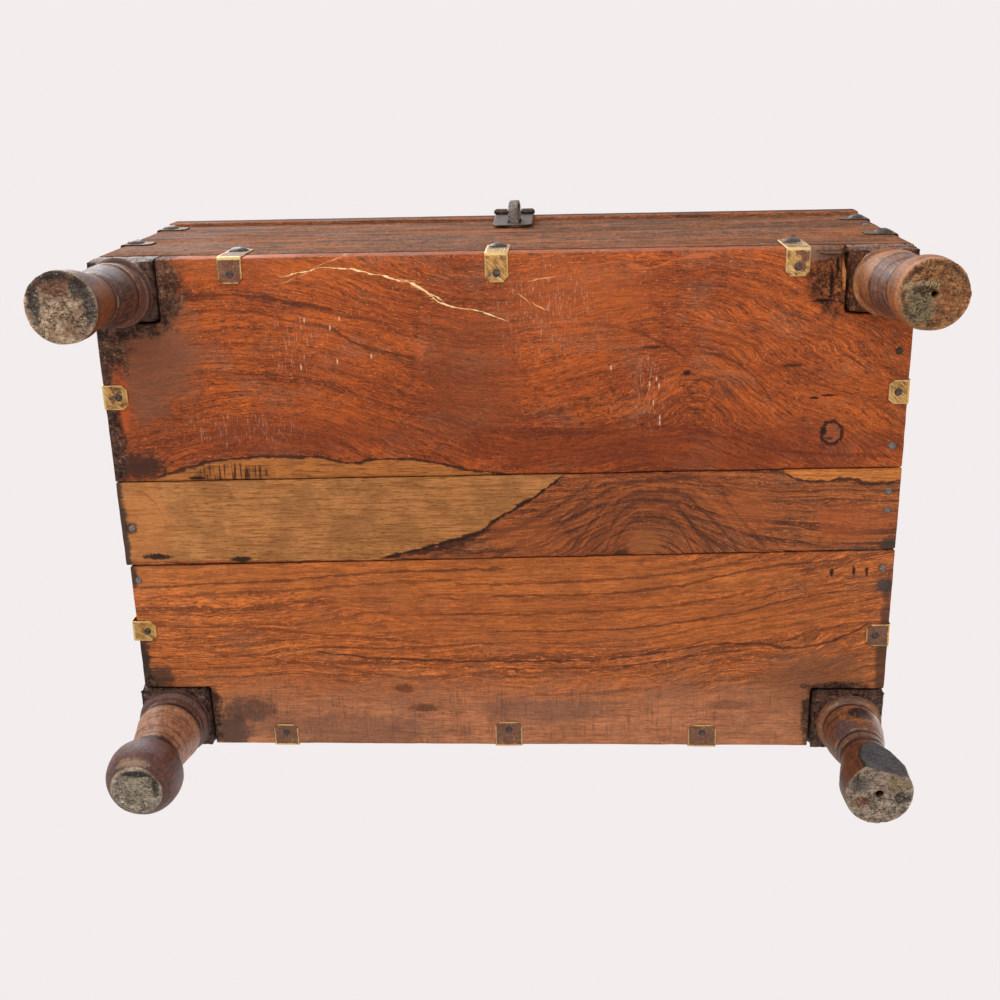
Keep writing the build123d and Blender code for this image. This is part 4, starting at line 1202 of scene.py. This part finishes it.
brown_leg = ((146, 92, 60), (104, 66, 47), (62, 45, 39))
leg_looks = {
    "leg_front_left": dict(
        tones=brown_leg, sole=(-282.5, -188.0), sole_radius=25.2,
        sole_tones=((230, 208, 178), (194, 160, 132), (96, 80, 72)),
        bands=(
            (86, 112, (116, 84, 72), 0.75), (52, 84, (58, 48, 46), 0.8), (74, 82, (128, 76, 40), 0.5),
            (0, 49, (112, 72, 46), 0.7),
        ),
        patches=(
            ((-268, -184, 22), (14, 26, 26), (144, 82, 42), 0.7, 12.0),
            ((-278, -208, 24), (26, 12, 28), (72, 58, 51), 0.9, 12.0),
            # Painted sheen: a bluish grey patch on the front of the neck.
            ((-272, -202, 66), (14, 9, 14), (118, 114, 120), 0.6, 8.0),
        ),
        sole_patches=(
            ((-3, -15), (16, 10), (150, 100, 74), 0.9, 6.0),
            ((-18, -4), (5, 16), (66, 54, 56), 0.85, 5.0),
            ((-4, -22), (18, 4.5), (62, 52, 54), 0.9, 4.0),
            ((14, -13), (9, 9), (60, 54, 56), 0.85, 5.0),
            ((20, 0), (6, 12), (80, 74, 72), 0.75, 5.0),
            ((8, 12), (10, 10), (150, 112, 84), 0.5, 6.0),
        ),
    ),
    "leg_front_right": dict(
        tones=((178, 116, 70), (134, 84, 52), (80, 54, 40)), sole=(285.5, -188.5), sole_radius=23.5,
        sole_tones=((206, 154, 106), (166, 112, 70), (86, 64, 51)), overlay=CRUMBS,
        bands=(
            (72, 108, (158, 104, 62), 0.8), (42, 68, (84, 70, 68), 0.85), (0, 39, (148, 94, 56), 0.75),
            (0, 6, (220, 146, 84), 0.45),
        ),
        sole_patches=(
            ((-9, 8), (13, 16), (160, 144, 112), 0.95, 6.0),
            ((-17, -4), (4, 7), (206, 186, 146), 0.7, 3.0),
            ((-6, -7), (12, 2.4), (206, 186, 146), 0.8, 3.0),
            ((2, 1), (4, 4), (190, 150, 106), 0.7, 3.0),
            ((-8, -3), (10, 3), (92, 76, 60), 0.8, 4.0),
        ),
    ),
    "leg_rear_left": dict(
        tones=((136, 90, 70), (94, 63, 54), (58, 44, 42)), sole=(-275.0, 178.5), sole_radius=19.0,
        sole_tones=((216, 202, 180), (172, 158, 140), (96, 88, 80)),
        bands=(
            (92, 112, (96, 68, 60), 0.8), (50, 88, (180, 128, 94), 0.85), (80, 87, (176, 134, 98), 0.6),
            (0, 45, (92, 64, 57), 0.8),
        ),
        patches=(
            # Painted sheen: a bluish grey patch on the front of the ball.
            ((-270, 152, 26), (26, 9, 17), (116, 104, 112), 0.6, 12.0),
            ((-292, 164, 38), (16, 24, 14), (132, 68, 48), 0.85, 10.0),
            ((-258, 166, 30), (8, 22, 18), (112, 64, 50), 0.5, 10.0),
            ((-277, 157.5, 5), (15, 6, 4.0), (170, 148, 120), 0.6, 2.5),
        ),
        sole_patches=(
            ((4, -15), (17, 3.4), (52, 46, 44), 0.9, 3.0),
            ((15, -6), (3.4, 12), (56, 50, 46), 0.85, 3.0),
            ((3, -9), (13, 2.2), (196, 184, 152), 0.7, 3.0),
            ((11, 0), (2.2, 11), (196, 184, 152), 0.6, 3.0),
            ((-3, 4), (9, 9), (130, 116, 100), 0.5, 5.0),
            ((17.5, 5), (1.8, 1.4), (250, 244, 220), 1.0, 1.5),
            ((-11.4, 8.5), (1.4, 1.4), (250, 244, 220), 1.0, 1.5),
        ),
    ),
    "leg_rear_right": dict(
        tones=brown_leg, sole=club_sole, sole_radius=25.0,
        sole_tones=((212, 192, 170), (172, 150, 132), (92, 81, 75)),
        bands=(
            (86, 112, (150, 100, 66), 0.75), (54, 84, (128, 84, 58), 0.75),
            (56, 64, (110, 102, 102), 0.6), (0, 50, (120, 75, 48), 0.75),
        ),
        patches=(
            ((279, 153, 84), (21, 14, 15), (172, 108, 60), 0.85, 5.0),
            ((279, 151, 84), (16, 13, 11), (36, 35, 35), 1.0, 4.0),
            ((264, 160, 70), (10, 14, 10), (84, 78, 82), 0.7, 6.0),
            ((274, 156, 102), (16, 14, 5), (92, 78, 72), 0.7, 6.0),
        ),
        sole_patches=(
            ((12, -8), (10, 8), (178, 156, 122), 0.85, 6.0),
            ((-12.6, 6), (7, 5), (148, 92, 62), 0.85, 4.0),
            ((-12, -4), (1.8, 1.0), (96, 196, 186), 1.0, 1.5),
            ((16, 3.4), (7, 6), (86, 78, 73), 0.8, 4.0),
            ((-16, -8), (9, 8), (104, 92, 84), 0.7, 5.0),
            ((12, 9), (6, 3), (190, 184, 170), 0.6, 4.0),
        ),
        marks=worn_flat_marks,
    ),
}
leg_woods = {node: leg_wood(node, **look) for node, look in leg_looks.items()}

# ---- Metal ----


def clip_edge(s, node, side):
    """Millimetres in from the nearest edge of a clip, or from the line that it is bent along."""
    across = side.cross(DOWN)
    inner, outer = reach_along(node, side)
    near, far = reach_along(node, across)
    low, high = box_mm(node)
    off_middle = s.apart(s.along(across), (near + far) / 2)
    from_inner = s.minus(s.along(side), inner)
    from_top = s.minus(high[2], s.z)
    edge = s.minus((far - near) / 2, off_middle)
    edge = s.math("MINIMUM", edge, s.math("MINIMUM", from_inner, from_top))
    bend = s.math("MAXIMUM", s.minus(outer, s.along(side)), s.minus(s.z, low[2]))
    return s.math("MINIMUM", edge, s.minus(bend, 1.2))


def brass(name, lacquer, node=None, side=None, seed=0.0, gain=1.0):
    """Old brass with scratches and tarnish, and a brown lacquer that is worn off at a clip's edges,
    where the bare brass is paler and carries a painted highlight.

    gain makes the lacquer lighter or darker.
    """
    s = Shader(name)
    spot = s.moved(seed)
    cloud = s.noise(spot, 8.0, 4.0, 0.65)
    grit = s.noise(spot, 1.4, 4.0, 0.7)
    slant = s.join(s.math("ADD", s.x, s.y), s.minus(s.x, s.y), s.z)
    scratch = s.noise(slant, (12.0, 0.6, 9.0), 2.0, 0.5)
    colour = s.blend(s.fade(cloud, 0.38, 0.64), s.tone((186, 147, 80)), s.tone((144, 100, 50)))
    colour = s.layered(colour, (
        (scratch, 0.56, 0.66, 0.7, (255, 240, 190), 1.0), (grit, 0.56, 0.68, 0.7, (112, 78, 52), 1.0),
    ))
    cover = s.scaled(s.fade(cloud, 0.3, 0.7), 0.5, 0.25)
    cover = s.fade(cover, 0.98 - lacquer, 1.06 - lacquer)
    if node:
        worn = s.ragged(clip_edge(s, node, side), 4.0, -2.0)
        cover = s.times(cover, s.fade(worn, -0.3, 0.4))
        # Paler, rubbed bare brass along the worn edges, brightened further as a painted highlight.
        colour = s.over(colour, s.fade(worn, 0.4, -0.4, 0.0, 0.6), (232, 204, 142))
    brown = s.blend(s.fade(grit, 0.4, 0.62), s.tone((84, 54, 46), gain), s.tone((124, 85, 70), gain))
    colour = s.blend(s.times(cover, 0.92), colour, brown)
    roughness = s.scaled(cover, 0.14, s.fade(grit, 0.3, 0.7, 0.3, 0.44))
    metal = s.scaled(cover, -0.6, 0.8)
    height = s.scaled(grit, 0.6, s.scaled(scratch, -0.6, cover))
    return s.finish(colour, roughness, height, depth=0.14, metallic=metal, specular=0.15)


def iron(name, tones, rust, seed=0.0, dark_place=None):
    """Forged iron, dark with paler rubbed places, and rust in its hollows. A nail may be darker."""
    s = Shader(name)
    spot = s.moved(seed)
    cloud = s.noise(spot, 6.0, 4.0, 0.66)
    grit = s.noise(spot, 1.0, 4.0, 0.7)
    colour = s.blend(s.fade(grit, 0.36, 0.64), s.tone(tones[0]), s.tone(tones[1]))
    colour = s.over(colour, s.fade(cloud, 0.4, 0.28, 0.0, 0.7), tones[1], 1.35)
    rusted = s.fade(cloud, 0.6 - 0.12 * rust, 0.68 - 0.12 * rust, 0.0, 0.85)
    colour = s.over(colour, rusted, (98, 60, 42))
    if dark_place:
        colour = s.over(colour, s.patch(dark_place, (9.0, 9.0, 9.0), 0.9, 1.0), INK)
    metal = s.scaled(rusted, -0.6, 0.7)
    roughness = s.fade(grit, 0.3, 0.7, 0.36, 0.56)
    return s.finish(colour, roughness, grit, depth=0.2, metallic=metal)


dark_iron = iron("dark_iron", ((42, 41, 40), (88, 86, 83)), 0.4)
hasp_iron = iron("hasp_iron", ((40, 34, 31), (84, 75, 68)), 0.5, 2.0)
staple_iron = iron("staple_iron", ((92, 86, 82), (156, 148, 140)), 0.2, 3.0)
nail_iron = iron("nail_iron", ((72, 69, 65), (140, 137, 132)), 0.3, 5.0, dark_place=at(299, -127))

clip_lacquer = {
    "front_clip_left": 0.76, "front_clip_middle": 0.3, "front_clip_right": 0.48,
    "left_clip_front": 0.42, "left_clip_back": 0.22, "right_clip_front": 0.26, "right_clip_back": 0.8,
    "back_clip_left": 0.78, "back_clip_middle": 0.74, "back_clip_right": 0.76,
}
clip_brass = {}
for count, (node, lacquer) in enumerate(clip_lacquer.items()):
    clip_brass[node] = brass(node + "_brass", lacquer, node, sides[node.split("_")[0]], count)
corner_brass = {
    level: brass(f"corner_{level}_brass", 0.9, seed=seed, gain=0.72)
    for level, seed in (("lower", 20.0), ("upper", 21.0))
}

# ---- Put the pieces together ----

worn_wood("front_wall", case_wood, ALONG_X, 10)
worn_wood("back_wall", case_wood, ALONG_X, 20)
worn_wood("left_wall", end_wood, ALONG_Y, 30)
worn_wood("right_wall", end_wood, ALONG_Y, 40)
worn_wood(
    "bottom_board_front", front_board_wood, ALONG_X, 50, voxel=1.5,
    chips=((at(305, -203), 15.0, 4.5), (at(246, -205), 22.0, 4.0), (at(-305, -203), 12.0, 3.0)),
)
worn_wood("bottom_board_middle", middle_board_wood, ALONG_X, 60, voxel=1.5)
worn_wood("bottom_board_rear", rear_board_wood, ALONG_X, 70, voxel=1.5)
worn_wood("lid_board_front", lid_wood, ALONG_X, 80)
worn_wood("lid_board_rear", lid_wood, ALONG_X, 90)
worn_wood("lid_batten_left", batten_wood, ALONG_Y, 100, voxel=2.2)
worn_wood("lid_batten_right", batten_wood, ALONG_Y, 110, voxel=2.2)

for count, (node, material) in enumerate(leg_woods.items()):
    worn_leg(node, material, 120 + 10 * count, decay=1.2 if node == "leg_front_right" else 0.2)

for count, node in enumerate(sorted(n for n in frame["nodes"] if "_clip_" in n and "nails" not in n)):
    words = node.split("_")
    if words[0] == "corner":
        strap_clip(node, sides[words[3]], sides[words[2]], corner_brass[words[4]], 200 + count)
    else:
        strap_clip(node, sides[words[0]], DOWN, clip_brass[node], 200 + count)

dome, small_head = (7.5, 3.0), (3.0, 0.8)
for count, (node, material, (radius, rise), outward) in enumerate((
    ("bottom_clip_dome_nails", dark_iron, dome, None),
    ("corner_clip_dome_nails", dark_iron, dome, None),
    ("clip_nails", dark_iron, small_head, DOWN),
    ("board_nails", nail_iron, small_head, DOWN),
    ("wall_joint_nails", nail_iron, small_head, None),
    ("lid_nails", nail_iron, small_head, UP),
    ("hinge_wall_nails", dark_iron, small_head, BACK),
    ("hinge_lid_nails", dark_iron, small_head, DOWN),
    ("hasp_strap_nails", dark_iron, small_head, UP),
)):
    forged_nails(node, material, 300 + count, radius, rise, outward)

iron_of = {
    "hasp_strap": hasp_iron, "hasp_tongue": hasp_iron, "hasp_pin": hasp_iron, "staple": staple_iron,
}
for part, side in product(("body_leaf", "lid_leaf", "pin"), ("left", "right")):
    iron_of[f"hinge_{part}_{side}"] = dark_iron
for count, (node, material) in enumerate(iron_of.items()):
    forged_iron(node, material, 400 + 2 * count, twist=0.2 if node == "staple" else 0.0)

# ---- Floor, light and camera ----

floor_half, floor_drop = 6.0, 0.4 * MM
floor_corners = [
    (x * floor_half, y * floor_half, -floor_drop) for x, y in ((-1, -1), (1, -1), (1, 1), (-1, 1))
]
floor_mesh = bpy.data.meshes.new("floor")
floor_mesh.from_pydata(floor_corners, [], [(0, 1, 2, 3)])
floor = bpy.data.objects.new("floor", floor_mesh)
scene.collection.objects.link(floor)

PALE = linear(243, 237, 237)


def shows_background(tree):
    """One for the rays that a viewer, a mirror or a glass sends out, and nothing for the others."""
    rays = add_node(tree, "LightPath").outputs
    seen = rays["Is Camera Ray"]
    for name in ("Is Glossy Ray", "Is Transmission Ray"):
        seen = add_node(tree, "Math", (seen, rays[name]), operation="MAXIMUM").outputs[0]
    return seen


def mixed(tree, share, first, second):
    """Two shaders mixed by a share."""
    return add_node(tree, "MixShader", (share, first.outputs[0], second.outputs[0]))


def floor_material():
    """Pale and plain from above; seen from below it isn't there, and it lets light up through.

    Far from the chest it shows the same pale colour as the world.
    """
    s = Shader("floor")
    pale, distant = s.add("BsdfDiffuse", {"Color": PALE}), s.add("Emission", {"Color": PALE})
    far = s.fade(s.distance((0.0, 0.0, 0.0), (1.0, 1.0, 0.0)), 800.0, 2000.0)
    above = mixed(s.tree, s.times(far, shows_background(s.tree)), pale, distant)
    from_below = s.add("NewGeometry").outputs["Backfacing"]
    absent = s.math("MAXIMUM", from_below, s.add("LightPath").outputs["Is Shadow Ray"])
    return s.show(mixed(s.tree, absent, above, s.add("BsdfTransparent")))


floor_mesh.materials.append(floor_material())

world = bpy.data.worlds.new("studio")
scene.world = world
world.use_nodes = True
studio = world.node_tree
studio.nodes.clear()
shown = add_node(studio, "Background", {"Color": PALE})
lit = add_node(studio, "Background", {"Color": linear(255, 255, 255), "Strength": 0.45})
backdrop = mixed(studio, shows_background(studio), lit, shown)
add_node(studio, "OutputWorld", {"Surface": backdrop.outputs[0]})


def lamp(name, place, target, size, power):
    """A soft square lamp that looks from one place at another, in metres and watts."""
    data = bpy.data.lights.new(name, "AREA")
    data.size = size
    data.energy = power
    made = bpy.data.objects.new(name, data)
    scene.collection.objects.link(made)
    made.location = place
    made.rotation_mode = "QUATERNION"
    made.rotation_quaternion = (Vector(target) - Vector(place)).to_track_quat("-Z", "Y")


middle = (0.0, 0.0, 0.17)
lamp("key_above", (-1.4, -1.8, 2.4), middle, 1.6, 70.0)
lamp("fill_above", (2.0, 1.2, 2.0), middle, 2.0, 35.0)
lamp("key_below", (-0.4, -1.7, -1.3), middle, 1.4, 33.0)
lamp("fill_below", (0.6, 1.0, -1.8), middle, 2.0, 19.0)

camera_data = bpy.data.cameras.new("camera")
camera_data.sensor_width = 36.0
camera_data.lens = 45.72
camera = bpy.data.objects.new("camera", camera_data)
scene.collection.objects.link(camera)
camera.rotation_mode = "QUATERNION"
camera_right = Vector((0.99844331, 0.02371374, 0.05048378))
camera_up = Vector((0.00606738, -0.94592416, 0.3243311))
camera_back = Vector((0.05544493, -0.32351992, -0.94459553))
turn = Matrix((camera_right, camera_up, camera_back)).transposed()
camera.rotation_quaternion = turn.to_quaternion()
camera.location = (0.0532, -0.3326, -0.8186)
scene.camera = camera

scene.view_settings.view_transform = "Standard"
